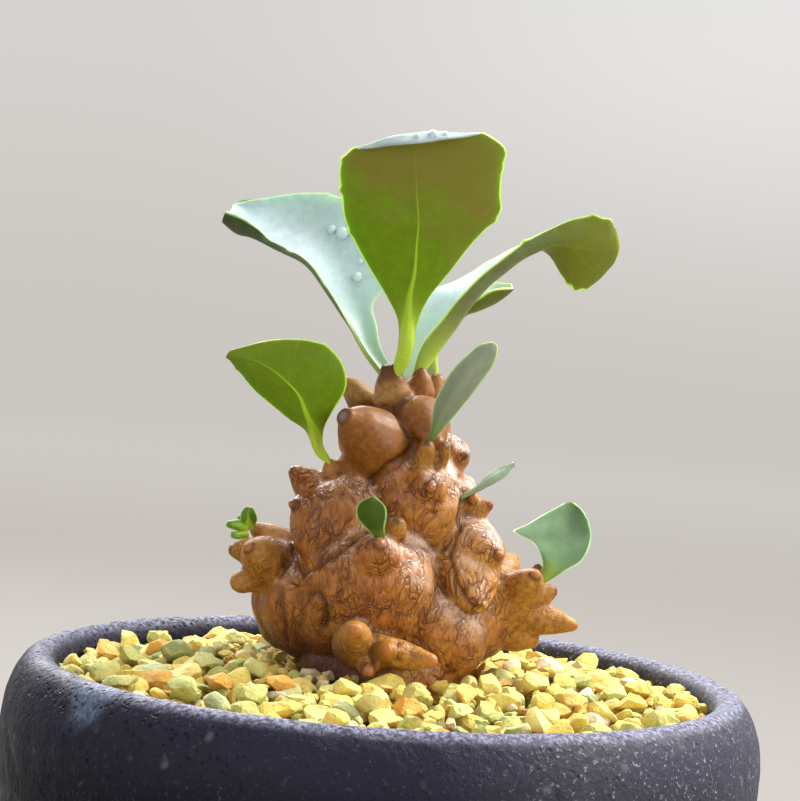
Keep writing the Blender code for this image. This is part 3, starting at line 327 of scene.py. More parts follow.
class Surface:
    """One material and short ways to build its nodes, with feature sizes in millimetres."""

    def __init__(self, name):
        self.material = bpy.data.materials.new(name)
        self.material.use_nodes = True
        self.tree = self.material.node_tree
        self.shader = self.tree.nodes["Principled BSDF"]
        self.place = self.add("ShaderNodeTexCoord").outputs["Object"]
        self.colour = None

    def add(self, kind, *entries, **settings):
        """A node of this kind with these settings, and its first sockets fed in order."""
        node = self.tree.nodes.new(kind)
        for name, value in settings.items():
            setattr(node, name, value)
        for socket, entry in zip(node.inputs, entries):
            self.feed(socket, entry)
        return node

    def feed(self, socket, value):
        if isinstance(value, bpy.types.NodeSocket):
            self.tree.links.new(value, socket)
        elif isinstance(value, tuple) and socket.type == "RGBA":
            socket.default_value = (*value, 1.0)
        else:
            socket.default_value = value

    def math(self, operation, *values):
        return self.add("ShaderNodeMath", *values, operation=operation).outputs[0]

    def times(self, product, *factors):
        for factor in factors:
            product = self.math("MULTIPLY", product, factor)
        return product

    def vector(self, operation, first, second):
        return self.add("ShaderNodeVectorMath", first, second, operation=operation).outputs[0]

    def axes(self):
        return self.add("ShaderNodeSeparateXYZ", self.place).outputs

    def noise(self, size, detail=2.0, place=None, output="Fac", rough=0.5):
        node = self.add("ShaderNodeTexNoise", place or self.place)
        node.inputs["Scale"].default_value = 1 / (size * MM)
        node.inputs["Detail"].default_value = detail
        node.inputs["Roughness"].default_value = rough
        return node.outputs[output]

    def cells(self, size, feature="F1", place=None):
        node = self.add("ShaderNodeTexVoronoi", place or self.place, feature=feature)
        node.inputs["Scale"].default_value = 1 / (size * MM)
        return node.outputs["Distance"]

    def warped(self, size, reach, stretch=(1.0, 1.0, 1.0), place=None):
        """Places pushed about by a noise, then stretched along the axes."""
        drift = self.vector("SUBTRACT", self.noise(size, 1.0, place, "Color"), (0.5, 0.5, 0.5))
        drift = self.vector("MULTIPLY", drift, (reach * MM,) * 3)
        return self.vector("MULTIPLY", self.vector("ADD", place or self.place, drift), stretch)

    def fade(self, value, low, high, at_low=0.0, at_high=1.0):
        return self.add("ShaderNodeMapRange", value, low, high, at_low, at_high,
                        interpolation_type="SMOOTHSTEP").outputs[0]

    def lines(self, value, width):
        """Thin lines where a noise crosses its middle value."""
        away = self.math("ABSOLUTE", self.math("SUBTRACT", value, 0.5))
        return self.fade(away, 0.0, width, 1.0, 0.0)

    def mix(self, share, first, second, blend="MIX"):
        """Two colours mixed. The node's colour sockets come after those for numbers and vectors."""
        node = self.add("ShaderNodeMix", share, data_type="RGBA", blend_type=blend)
        first_colour, second_colour = node.inputs[6:8]
        self.feed(first_colour, first)
        self.feed(second_colour, second)
        return node.outputs[2]

    def paint(self, tint, *shares, blend="MIX"):
        """Lay a tint over the colour so far, as strong as its shares multiplied."""
        self.colour = self.mix(self.times(*shares), self.colour, tint, blend)

    def mark(self, name):
        """A value that is stored on the mesh's points."""
        return self.add("ShaderNodeAttribute", attribute_name=name).outputs["Fac"]

    def bump(self, height, depth, below=None):
        node = self.add("ShaderNodeBump", 1.0)
        node.inputs["Distance"].default_value = depth * MM
        self.feed(node.inputs["Height"], height)
        if below:
            self.feed(node.inputs["Normal"], below)
        return node.outputs[0]

    def finish(self, normal=None, **sockets):
        """Feed the shader its colour, its normal and its other named sockets."""
        sockets["base_color"] = self.colour
        if normal:
            sockets["normal"] = normal
        for name, value in sockets.items():
            label = name.replace("_", " ").title().replace("Ior", "IOR")
            self.feed(self.shader.inputs[label], value)
        return self.material


def add_object(name, data):
    made = bpy.data.objects.new(name, data)
    bpy.context.scene.collection.objects.link(made)
    return made


def mesh_piece(name, points, faces, material, marks=None):
    """A smooth mesh from points in millimetres, with values stored on its points."""
    mesh = bpy.data.meshes.new(name)
    mesh.from_pydata((np.asarray(points) * MM).tolist(), [], faces)
    mesh.materials.append(material)
    store(mesh, marks or {})
    mesh.shade_smooth()
    return add_object(name, mesh)


def joined(parts):
    """The points, faces and marks of several parts as those of one mesh."""
    start, points, faces, marks = 0, [], [], {}
    for part_points, part_faces, part_marks in parts:
        points.append(part_points)
        faces.append(np.asarray(part_faces) + start)
        for mark, values in part_marks.items():
            marks.setdefault(mark, []).append(values)
        start += len(part_points)
    merged = {mark: np.concatenate(values) for mark, values in marks.items()}
    return np.concatenate(points), np.concatenate(faces).tolist(), merged


def store(mesh, marks):
    for mark, values in marks.items():
        values = np.asarray(values, dtype=np.float32)
        mesh.attributes.new(mark, "FLOAT", "POINT").data.foreach_set("value", values)


def place_piece(piece, slot, *nodes):
    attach(piece, "root")
    if nodes:
        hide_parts(*nodes)


def read_vectors(items, field):
    values = np.empty(len(items) * 3)
    items.foreach_get(field, values)
    return values.reshape(-1, 3)


def smooth_step(values, low, high):
    """Smoothly from 0 at the low value to 1 at the high one."""
    share = np.clip((np.asarray(values) - low) / (high - low), 0, 1)
    return share * share * (3 - 2 * share)


def bell(values, centre, width):
    """1 at the centre, falling off to both sides over the width."""
    return np.exp(-((values - centre) / width) ** 2)


def lattice_noise(points, size, seed):
    """A smooth noise from -1 to 1 at places in millimetres, for moving a mesh's points."""
    shift = Vector((seed * 7.3, seed * 3.1, seed * 5.7))
    return np.array([noise.noise(Vector(point) / size + shift) for point in points])


def round_cone(bm, start, start_radius, end, end_radius):
    """The hull of two balls."""
    ring = bmesh.new()
    for place, radius in ((start, start_radius), (end, end_radius)):
        bmesh.ops.create_icosphere(ring, subdivisions=3, radius=radius * MM,
                                   matrix=Matrix.Translation(Vector(place) * MM))
    bmesh.ops.delete(ring, geom=ring.edges[:] + ring.faces[:], context="EDGES_FACES")
    bmesh.ops.convex_hull(ring, input=ring.verts[:])
    loose = [vert for vert in ring.verts if not vert.link_faces]
    bmesh.ops.delete(ring, geom=loose, context="VERTS")
    scratch = bpy.data.meshes.new("lobe")
    ring.to_mesh(scratch)
    ring.free()
    bm.from_mesh(scratch)
    bpy.data.meshes.remove(scratch)


def turn(profile, steps, centre=(0.0, 0.0)):
    """Points and faces of a (radius, height) profile turned round the Z axis."""
    angles = np.linspace(0, 2 * np.pi, steps, endpoint=False)
    radius, height = np.array(profile).T
    x = centre[0] + np.outer(np.cos(angles), radius)
    y = centre[1] + np.outer(np.sin(angles), radius)
    z = np.tile(height, (steps, 1))
    count = len(profile)
    faces = []
    for step in range(steps):
        here, there = step * count, (step + 1) % steps * count
        for index in range(count - 1):
            faces.append((here + index, there + index, there + index + 1, here + index + 1))
    return np.stack([x, y, z], axis=-1).reshape(-1, 3), faces


def grown_body():
    """All lobes and the foot, grown into one fine mesh."""
    bm = bmesh.new()
    for start, start_radius, end, end_radius, _, _ in LOBES:
        start, end = Vector(start), Vector(end)
        waist = start.lerp(end, WAIST_PLACE)
        waist_radius = end_radius + (start_radius - end_radius) * WAIST_WIDTH
        round_cone(bm, start, start_radius, waist, waist_radius)
        round_cone(bm, waist, waist_radius, end, end_radius)
    profile = [(0.01, FOOT[0][1])] + FOOT + [(0.01, FOOT[-1][1])]
    points, faces = turn(profile, 64, FOOT_CENTRE)
    foot = bpy.data.meshes.new("foot")
    foot.from_pydata((points * MM).tolist(), [], faces)
    bm.from_mesh(foot)
    bmesh.ops.holes_fill(bm, edges=[edge for edge in bm.edges if edge.is_boundary])
    bpy.data.meshes.remove(foot)
    mesh = bpy.data.meshes.new("caudex_skin")
    bm.to_mesh(mesh)
    bm.free()
    body = add_object("caudex_skin", mesh)
    remesh = body.modifiers.new("Grow together", "REMESH")
    remesh.mode = "VOXEL"
    remesh.voxel_size = VOXEL * MM
    soften = body.modifiers.new("Soften", "SMOOTH")
    soften.factor = 0.5
    soften.iterations = SMOOTH_ROUNDS
    bpy.context.view_layer.update()
    graph = bpy.context.evaluated_depsgraph_get()
    body.data = bpy.data.meshes.new_from_object(body.evaluated_get(graph))
    body.modifiers.clear()
    return body


def cone_distance(points, start, start_radius, end, end_radius):
    """Distance from points to a straight cone with round ends, near enough for blending."""
    start, end = np.array(start, float), np.array(end, float)
    run = end - start
    along = np.clip((points - start) @ run / (run @ run), 0, 1)
    reach = np.linalg.norm(points - start - along[:, None] * run, axis=1)
    return reach - (start_radius + (end_radius - start_radius) * along ** LOBE_BULGE)


def skin_shares(points):
    """For each point, the share of each kind of skin among the lobes nearest to it."""
    totals = {"old": 1e-6, "young": 0.0, "top": 0.0}
    for start, start_radius, end, end_radius, skin, _ in LOBES:
        distance = cone_distance(points, start, start_radius, end, end_radius)
        totals[skin] = totals[skin] + np.exp(-np.clip(distance, -1, 20) / SKIN_BLEND)
    whole = sum(totals.values())
    return {skin: total / whole for skin, total in totals.items()}


# How far round a tip of each kind its colour reaches
TIP_SPREAD = {"red": 1.5, "dark": 1.3, "cut": 4.6, "orange": 2.2, "nipple": 1.1, "scar": 1.5,
              "bud": 2.4}
# What rises or sinks round a tip: height, distance from its middle, and width
TIP_LIFTS = {
    "scar": [(0.32, 1.15, 0.35), (-0.5, 0, 0.7)],
    "cut": [(0.2, 0.9, 0.3), (-0.5, 0, 0.6)],
    "nipple": [(0.28, 0, 0.55), (-0.14, 1.2, 0.3)],
}
# The dark ring round a tip: its radius and width
TIP_RINGS = {"scar": (1.05, 0.22), "nipple": (1.05, 0.24)}
TIP_TINTS = {
    "red": (0.17, 0.026, 0.012),
    "dark": (0.08, 0.028, 0.012),
    "cut": (0.055, 0.01, 0.003),
    "orange": (0.42, 0.15, 0.03),
    "nipple": (0.42, 0.14, 0.04),
    "scar": (0.26, 0.2, 0.2),
    "ring": (0.1, 0.028, 0.01),
    "bud": (0.075, 0.012, 0.01),
}


def tip_marks(points):
    """How near each point is to a tip of each kind, and its move for rings and buttons there."""
    marks = {kind: np.zeros(len(points)) for kind in TIP_TINTS}
    lift = np.zeros(len(points))
    for start, _, end, end_radius, _, kind in LOBES:
        if not kind:
            continue
        start, end = np.array(start, float), np.array(end, float)
        axis = (end - start) / np.linalg.norm(end - start)
        away = points - (end + axis * end_radius)
        depth = away @ axis
        sideways = np.linalg.norm(away - depth[:, None] * axis, axis=1)
        reach = np.linalg.norm(away, axis=1)
        spread = TIP_SPREAD[kind]
        marks[kind] = np.maximum(marks[kind], 1 - smooth_step(reach, 0.35 * spread, spread))
        near = 1 - smooth_step(reach, 1.5 * spread, 2.2 * spread)
        lift += near * sum(height * bell(sideways, place, width)
                           for height, place, width in TIP_LIFTS.get(kind, ()))
        if kind in TIP_RINGS:
            ring = near * bell(sideways, *TIP_RINGS[kind])
            marks["ring"] = np.maximum(marks["ring"], ring)
    return marks, lift


def hollows(mesh, points, normals, rounds):
    """How far each point lies below the surface when that is smoothed, in millimetres."""
    edges = np.empty(len(mesh.edges) * 2, dtype=np.int32)
    mesh.edges.foreach_get("vertices", edges)
    neighbours = np.bincount(edges, minlength=len(points))[:, None]
    first, second = edges.reshape(-1, 2).T
    mean = points
    for _ in range(rounds):
        total = np.zeros_like(mean)
        np.add.at(total, first, mean[second])
        np.add.at(total, second, mean[first])
        mean = 0.5 * mean + 0.5 * total / neighbours
    return np.einsum("ij,ij->i", mean - points, normals)


def crease_distance(body, points):
    """How far each point lies from the nearest crease, in millimetres."""
    tree = BVHTree.FromObject(body, bpy.context.evaluated_depsgraph_get())
    seeds = []
    for line in CREASES:
        for start, end in zip(line, line[1:]):
            start, end = Vector(start), Vector(end)
            steps = math.ceil((end - start).length / CREASE_STEP)
            for step in range(steps + 1):
                place = start.lerp(end, step / steps)
                seeds.append(tree.find_nearest(place * MM)[0] / MM)
    near = kdtree.KDTree(len(seeds))
    for index, seed in enumerate(seeds):
        near.insert(seed, index)
    near.balance()
    return np.array([near.find(point)[2] for point in points])


def bark_surface():
    """Satin tan skin with a flowing net of wrinkles, and gold, olive and red in their places, with
    painted highlights on the faces turned to the key lamp, painted light on the right side and
    painted shade in the creases and low on the left.
    """
    s = Surface("bark")
    old, young = s.mark("old"), s.mark("young")
    wrinkled = s.math("ADD", old, s.times(young, 0.45))
    bend = s.warped(6.5, 5.0, (1.0, 1.0, 0.55))
    ripple = s.warped(1.5, 1.3, place=bend)
    patch = s.fade(s.noise(3.4), 0.38, 0.6, 0.22, 1.0)
    puffs = s.fade(s.cells(1.05, "DISTANCE_TO_EDGE", ripple), 0.0, 0.24, 0.5, 0.0)
    long_folds = s.lines(s.noise(3.2, 1.5, bend), 0.036)
    short_folds = s.lines(s.noise(1.8, 1.0, ripple), 0.06)
    groove = s.math("MAXIMUM", puffs, s.times(short_folds, 0.85))
    groove = s.times(s.math("MAXIMUM", groove, long_folds), s.times(wrinkled, patch))
    streak = s.noise(0.8, 4.0, ripple, rough=0.6)
    mottle = s.noise(0.8, 4.0, rough=0.65)
    flecks = s.fade(mottle, 0.3, 0.7)
    s.colour = s.mix(s.fade(streak, 0.34, 0.62), (0.28, 0.09, 0.012), (0.47, 0.183, 0.033))
    s.paint((0.23, 0.07, 0.01), s.fade(s.noise(3.0, 2.0, bend), 0.42, 0.62, 0.0, 0.55))
    # Golden tone on the right side, partly the skin's own colour and partly painted light from the
    # key lamp's side.
    s.paint((0.62, 0.3, 0.072), s.mark("golden_and_lit"), s.fade(streak, 0.28, 0.6, 0.35, 1.0))
    s.paint(s.mix(flecks, (0.29, 0.122, 0.016), (0.49, 0.235, 0.042)), young)
    s.paint(s.mix(flecks, (0.16, 0.05, 0.002), (0.28, 0.095, 0.006)), s.mark("top"))
    s.paint((0.44, 0.26, 0.075), s.mark("pale"), s.fade(mottle, 0.3, 0.6, 0.2, 0.6))
    # Painted highlight: pale pink on the faces turned to the key lamp and on the lips of the
    # creases.
    s.paint((0.7, 0.52, 0.43), s.mark("painted_highlight"), s.fade(streak, 0.34, 0.58, 0.35, 1.0))
    # Painted shade low on the left of the foot.
    s.paint((0.07, 0.018, 0.016), s.mark("painted_shade_low_left"))
    s.paint((0.115, 0.026, 0.006), groove, 0.88)
    # Painted shade in the creases and hollows.
    s.paint((0.06, 0.015, 0.005), s.mark("crease_shade"), 0.8)
    for kind, tint in TIP_TINTS.items():
        s.paint(tint, s.mark(kind), 0.85)
    folds = s.bump(s.times(groove, -1.0), 0.3, s.bump(mottle, 0.06))
    rough = s.math("ADD", s.fade(mottle, 0.3, 0.8, 0.28, 0.44), s.fade(old, 0.0, 1.0, 0.2, 0.0))
    return s.finish(folds, roughness=rough, specular_ior_level=0.35, coat_weight=0.1,
                    coat_roughness=0.22)


def make_caudex():
    body = grown_body()
    mesh = body.data
    points = read_vectors(mesh.vertices, "co") / MM
    normals = read_vectors(mesh.vertex_normals, "vector")
    x, _, z = points.T
    marks, lift = tip_marks(points)
    shares = skin_shares(points)
    marks.update(shares)
    # How deep each point lies in a hollow, for painted shade there.
    hollow_shade = smooth_step(hollows(mesh, points, normals, HOLLOW_ROUNDS), 0.03, 0.15)
    wobble = lattice_noise(points, 5.0, 1)
    lumps = lattice_noise(points * (1, 1, 0.75), 2.0, 2)
    reach = np.maximum(0, crease_distance(body, points) + 0.25 * lumps)
    lip = bell(reach, 1.4, 0.6)
    lift += LIP_RISE * lip - CREASE_DEPTH * bell(reach, 0, 0.55)
    lift = lift + WOBBLE_HEIGHT * wobble + LUMP_HEIGHT * (1 + shares["old"]) * lumps
    mesh.vertices.foreach_set("co", ((points + normals * lift[:, None]) * MM).ravel())
    # Golden tone on the right side: partly the skin's own colour, partly painted light where the
    # key lamp falls.
    right = smooth_step(x + 3 * wobble, -2, 14)
    marks["golden_and_lit"] = right * (1 - smooth_step(z, 92, 104)) * 0.85 \
        * (0.3 + 0.7 * smooth_step(z, 74, 82))
    marks["pale"] = smooth_step(z, 109.5, 111) * (1 - smooth_step(z + 0.8 * lumps, 112.8, 114.2)) \
        * (1 - smooth_step(x + wobble, -0.5, 1.5))
    # Painted shade low on the left of the foot, the side away from the key lamp.
    marks["painted_shade_low_left"] = 0.92 * (1 - smooth_step(z + 2 * wobble, 70, 77)) \
        * (1 - smooth_step(x + 2 * wobble, -8, 2))
    # Painted highlight: where the old skin faces the key lamp, and along the upturned lips of the
    # creases.
    lit = smooth_step(normals @ np.array([0.42, -0.25, 0.87]) + 0.25 * wobble, 0.42, 0.95)
    lit *= 0.25 + 0.75 * smooth_step(x + 2 * wobble, -9, -3)
    lit_lip = lip * smooth_step(normals[:, 2], 0.1, 0.6)
    marks["painted_highlight"] = np.maximum(0.95 * lit, 0.75 * lit_lip) * (shares["old"] + 0.08 * shares["top"])
    # Painted shade in the hollows and along the creases.
    marks["crease_shade"] = np.maximum(hollow_shade, bell(reach, 0, 0.4))
    store(mesh, marks)
    mesh.materials.clear()
    mesh.materials.append(bark_surface())
    mesh.shade_smooth()
    place_piece(body, "bark", "caudex")
    return body


def spline(knots, values, at):
    """A smooth curve through the values at their knots, read at other places."""
    slopes = np.gradient(values, knots, axis=0)
    index = np.clip(np.searchsorted(knots, at, side="right") - 1, 0, len(knots) - 2)
    spread = (len(at),) + (1,) * (values.ndim - 1)
    step = (knots[index + 1] - knots[index]).reshape(spread)
    t = (at - knots[index]).reshape(spread) / step
    start, end = values[index], values[index + 1]
    leave, arrive = slopes[index] * step, slopes[index + 1] * step
    return ((2 * t ** 3 - 3 * t ** 2 + 1) * start + (t ** 3 - 2 * t ** 2 + t) * leave
            + (3 * t ** 2 - 2 * t ** 3) * end + (t ** 3 - t ** 2) * arrive)


def blade_grid(stations, along, across):
    """Points of the blade's upper face, row by row from the stalk to the tip."""
    stations = np.array(stations, dtype=float)
    middle = stations.mean(axis=1)
    steps = np.linalg.norm(np.diff(middle, axis=0), axis=1)
    knots = np.concatenate([[0.0], np.cumsum(steps)]) / steps.sum()
    lengthwise = spline(knots, stations, along)
    places = np.linspace(0, 1, stations.shape[1])
    return spline(places, lengthwise.transpose(1, 0, 2), (across + 1) / 2).transpose(1, 0, 2)


def seated(stations, tree):
    """Move the stalk's first station to where it is rooted in the caudex."""
    first, second = (Vector(stations[index][len(stations[index]) // 2]) for index in (0, 1))
    down = (first - second).normalized()
    place, _, _, reach = tree.ray_cast(second * MM, down, STALK_REACH * MM)
    if place is None:
        place, normal, _, _ = tree.find_nearest(first * MM)
        shift = place / MM - normal * ROOT_DEPTH - first
    else:
        shift = second + down * (reach / MM + ROOT_DEPTH) - first
    return [[tuple(Vector(point) + shift) for point in stations[0]]] + stations[1:]


# Teeth on a leaf's margins: side of the leaf, place along it, length and half width.
TEETH = {
    "leaf_top_centre": [(-1, 0.745, 0.5, 0.012), (1, 0.83, 0.3, 0.014), (1, 0.6, 0.6, 0.012),
                        (-1, 0.9, 0.4, 0.012), (-1, 0.57, 0.3, 0.01)],
    "leaf_top_left": [(1, 0.87, 1.0, 0.03), (1, 0.95, 0.5, 0.012), (1, 0.62, 0.4, 0.012),
                      (1, 0.42, 0.3, 0.012), (-1, 0.8, 0.3, 0.014)],
    "leaf_top_right": [(-1, 0.66, 0.5, 0.012), (1, 0.86, 0.5, 0.01), (1, 0.9, 0.6, 0.01),
                       (1, 0.94, 0.5, 0.01), (-1, 0.9, 0.4, 0.014), (-1, 0.96, 0.4, 0.012)],
    "leaf_left": [(-1, 0.8, 0.3, 0.02), (1, 0.7, 0.25, 0.02)],
    "leaf_low_right": [(1, 0.62, 0.4, 0.02), (-1, 0.75, 0.25, 0.02)],
}


def toothed(grid, along, across, teeth):
    """Push the blade's margin outwards in small teeth."""
    middle = grid[:, grid.shape[1] // 2: grid.shape[1] // 2 + 1]
    outwards = grid - middle
    outwards /= np.maximum(np.linalg.norm(outwards, axis=2, keepdims=True), 0.2)
    for side, place, length, width in teeth:
        peak = np.clip(1 - np.abs(along - place) / (2 * width), 0, 1) ** 1.3
        edge = np.clip(across * side, 0, 1) ** 8
        grid = grid + outwards * (length * np.outer(peak, edge))[:, :, None]
    return grid


def blade(stations, rows, columns, blade_thickness, stalk_thickness, teeth=(), seed=0):
    """Points, faces and marks of one leaf: both faces, its rim, and where each point lies on it."""
    along = np.linspace(0, 1, rows)
    across = np.sin(np.linspace(-np.pi / 2, np.pi / 2, columns))
    grid = toothed(blade_grid(stations, along, across), along, across, teeth)
    normal = np.cross(np.gradient(grid, axis=0), np.gradient(grid, axis=1))
    normal /= np.maximum(np.linalg.norm(normal, axis=2, keepdims=True), 1e-9)
    fade = np.clip(1 - along / 0.5, 0, 1)[:, None] ** 1.5
    stalk = (stalk_thickness - blade_thickness) * fade * bell(across, 0, 0.1 + 0.75 * fade)
    keel = KEEL_HEIGHT * bell(across, 0, 0.05) * (1 - along[:, None]) * (1 - fade)
    margin = 1 - MARGIN_THINNING * np.abs(across) ** 8
    ripple = lattice_noise(grid.reshape(-1, 3), 4.0, seed).reshape(rows, columns)
    grid = grid + normal * (RIPPLE_HEIGHT * ripple * (1 - fade))[:, :, None]
    lower = grid - normal * (blade_thickness * margin + stalk + keel)[:, :, None]
    points = np.concatenate([grid.reshape(-1, 3), lower.reshape(-1, 3)])
    size = rows * columns
    corner = np.arange(size).reshape(rows, columns)
    a, b, c, d = corner[:-1, :-1], corner[:-1, 1:], corner[1:, 1:], corner[1:, :-1]
    both = np.stack([a, d, c, b, a + size, b + size, c + size, d + size], axis=-1)
    rim = np.concatenate([corner[0], corner[1:, -1], corner[-1, -2::-1], corner[-2:0:-1, 0]])
    there = np.roll(rim, -1)
    sides = np.stack([rim, there, there + size, rim + size], axis=-1)
    faces = both.reshape(-1, 4).tolist() + sides.tolist()
    steps = np.linalg.norm(np.diff(grid[:, columns // 2], axis=0), axis=1)
    by_row = {
        "run": np.cumsum(np.r_[0, steps]),
        "along": along,
        "width": np.linalg.norm(grid[:, -1] - grid[:, 0], axis=1),
    }
    marks = {name: np.tile(np.repeat(values, columns), 2) for name, values in by_row.items()}
    marks["across"] = np.tile(across, 2 * rows)
    marks["upper"] = np.repeat([1.0, 0.0], size)
    return points, faces, marks


VEIN_SPACING = 5.5
KEEL_HEIGHT = 0.35
RIPPLE_HEIGHT = 0.18
MARGIN_THINNING = 0.7
PALE_GREEN = (0.5, 0.66, 0.07)


def scaled(colour, share):
    return tuple(np.multiply(colour, share))


def leaf_surface(name, upper, lower, flush, margin, flush_start, base=PALE_GREEN, base_above=0.22,
                 glow=0.45):
    """A succulent blade: a powdery upper face, a green lower one, a pale rib and a clear margin."""
    s = Surface(name)
    across, along = s.mark("across"), s.mark("along")
    off = s.math("ABSOLUTE", across)
    half_width = s.times(s.mark("width"), 0.5)
    from_rib = s.times(off, half_width)
    from_edge = s.times(s.math("SUBTRACT", 1.0, off), half_width)
    broad, mottle, grain = s.noise(6.0), s.noise(1.5, 3.0), s.noise(0.45, 3.0)
    is_upper = s.fade(s.mark("upper"), 0.3, 0.7)
    rib_width = s.fade(along, 0.08, 0.6, 0.7, 0.14)
    rib = s.times(s.fade(s.math("DIVIDE", from_rib, rib_width), 0.45, 1.1, 1.0, 0.0),
                  s.fade(along, 0.5, 0.88, 1.0, 0.1))
    rise = s.math("SUBTRACT", s.mark("run"), s.times(from_rib, 1.3))
    rise = s.math("ADD", rise, s.times(s.noise(5.0, 1.0), 3.0))
    vein = s.fade(s.math("PINGPONG", rise, VEIN_SPACING / 2), 0.0, 0.26, 0.8, 0.0)
    place = s.math("ADD", s.times(across, 0.14), along)
    place = s.math("ADD", place, s.times(s.math("SUBTRACT", broad, 0.5), 0.7))
    s.colour = s.mix(s.fade(mottle, 0.3, 0.7), lower, scaled(lower, 0.84))
    s.paint(flush, s.fade(place, flush_start, flush_start + 0.4), 0.9)
    s.paint((0.3, 0.46, 0.02), vein, 0.13)
    s.paint((0.36, 0.55, 0.03), rib)
    under = s.colour
    s.colour = s.mix(s.fade(broad, 0.35, 0.68), upper, scaled(upper, 0.88))
    s.paint(scaled(upper, 0.8), s.fade(mottle, 0.42, 0.72, 0.0, 0.6))
    s.paint(scaled(upper, (0.6, 0.73, 0.6)), s.fade(along, 0.1, 0.6, 0.75, 0.0))
    s.paint(scaled(upper, 0.6), vein, 0.06)
    s.paint(scaled(upper, 1.1), rib, 0.1)
    s.colour = s.mix(is_upper, under, s.colour)
    s.paint(base, s.fade(along, 0.06, 0.36, 1.0, 0.0), s.fade(off, 0.2, 1.0, 1.0, 0.5),
            s.fade(is_upper, 0.0, 1.0, 1.0, base_above), 0.9)
    s.paint(margin, s.fade(from_edge, 0.1, 0.34, 1.0, 0.0), s.fade(along, 0.1, 0.25), 0.85)
    s.paint((0.07, 0.12, 0.02), grain, 0.14)
    ridge = s.times(vein, s.math("SUBTRACT", is_upper, 1.0))
    normal = s.bump(ridge, 0.04, s.bump(grain, 0.03))
    rough = s.math("ADD", s.times(is_upper, 0.34), 0.38)
    return s.finish(normal, roughness=rough, specular_ior_level=0.15, subsurface_weight=glow,
                    subsurface_radius=(0.7, 1.2, 0.12), subsurface_scale=0.9 * MM)


# Each leaf's upper and lower colour, its flush, its margin and where along it the flush sets in,
# and for some the colour of its base, how much of that shows on the upper face, and how much
# light the blade lets through
LEAF_TONES = {
    "leaf_top_centre": ((0.42, 0.52, 0.55), (0.17, 0.285, 0.005), (0.225, 0.195, 0.034),
                        (0.6, 0.72, 0.2), 0.46),
    "leaf_top_left": ((0.52, 0.63, 0.67), (0.15, 0.19, 0.11), (0.055, 0.065, 0.032),
                      (0.5, 0.62, 0.46), 0.66),
    "leaf_top_right": ((0.74, 0.84, 0.94), (0.18, 0.215, 0.085), (0.185, 0.205, 0.015),
                       (0.5, 0.62, 0.16), 0.45),
    "leaf_back_right": ((0.62, 0.73, 0.71), (0.14, 0.19, 0.02), (0.15, 0.15, 0.03),
                        (0.52, 0.64, 0.2), 0.5),
    "leaf_left": ((0.36, 0.48, 0.4), (0.16, 0.26, 0.006), (0.14, 0.2, 0.008),
                  (0.48, 0.66, 0.1), 0.55),
    "leaf_right": ((0.3, 0.34, 0.26), (0.15, 0.18, 0.045), (0.2, 0.212, 0.145),
                   (0.4, 0.47, 0.28), 0.22, (0.15, 0.24, 0.02), 0.9),
    "leaf_sprout_right": ((0.36, 0.5, 0.4), (0.21, 0.3, 0.2), (0.2, 0.28, 0.18),
                          (0.5, 0.62, 0.46), 0.6, PALE_GREEN, 0.22, 0.08),
    "leaf_low_right": ((0.165, 0.265, 0.15), (0.08, 0.17, 0.035), (0.08, 0.15, 0.03),
                       (0.6, 0.78, 0.6), 0.6, (0.36, 0.48, 0.05), 0.85),
    "leaf_round_front": ((0.07, 0.12, 0.014), (0.07, 0.12, 0.014), (0.06, 0.1, 0.014),
                         (0.34, 0.5, 0.2), 0.6),
    "shoot_left": ((0.44, 0.62, 0.46), (0.17, 0.3, 0.04), (0.1, 0.2, 0.03),
                   (0.5, 0.68, 0.4), 0.6),
}
# Rows and columns of each leaf, and its blade and stalk thickness
LEAF_FORMS = {
    "leaf_top_centre": (150, 61, 0.55, 1.5),
    "leaf_top_left": (130, 61, 0.55, 1.4),
    "leaf_top_right": (150, 61, 0.55, 1.4),
    "leaf_back_right": (80, 33, 0.5, 1.3),
    "leaf_left": (90, 45, 0.5, 1.2),
    "leaf_right": (80, 37, 0.5, 1.2),
    "leaf_sprout_right": (50, 21, 0.45, 0.8),
    "leaf_low_right": (90, 45, 0.5, 1.3),
    "leaf_round_front": (60, 33, 0.5, 0.7),
}


def make_leaves(tree):
    for number, (name, (rows, columns, thin, thick)) in enumerate(LEAF_FORMS.items()):
        stations = seated(LEAVES[name], tree)
        teeth = TEETH.get(name, ())
        points, faces, marks = blade(stations, rows, columns, thin, thick, teeth, number + 3)
        surface = leaf_surface(name, *LEAF_TONES[name])
        place_piece(mesh_piece(f"{name}_blade", points, faces, surface, marks), "leaf", name)


def make_shoot():
    """The left arm's tuft of small leaves."""
    points, faces, marks = joined(blade(stations, 30, 17, 0.45, 0.7, (), number + 20)
                                  for number, stations in enumerate(SHOOT_LEAVES))
    surface = leaf_surface("shoot_left", *LEAF_TONES["shoot_left"])
    place_piece(mesh_piece("shoot_leaves", points, faces, surface, marks), "leaf", "shoot_left")


def gravel_height(x, y):
    share = min(1.0, math.hypot(x, y) / LIP_RADIUS)
    return GRAVEL_EDGE_HEIGHT + (GRAVEL_CENTRE_HEIGHT - GRAVEL_EDGE_HEIGHT) * (1 - share ** 2)


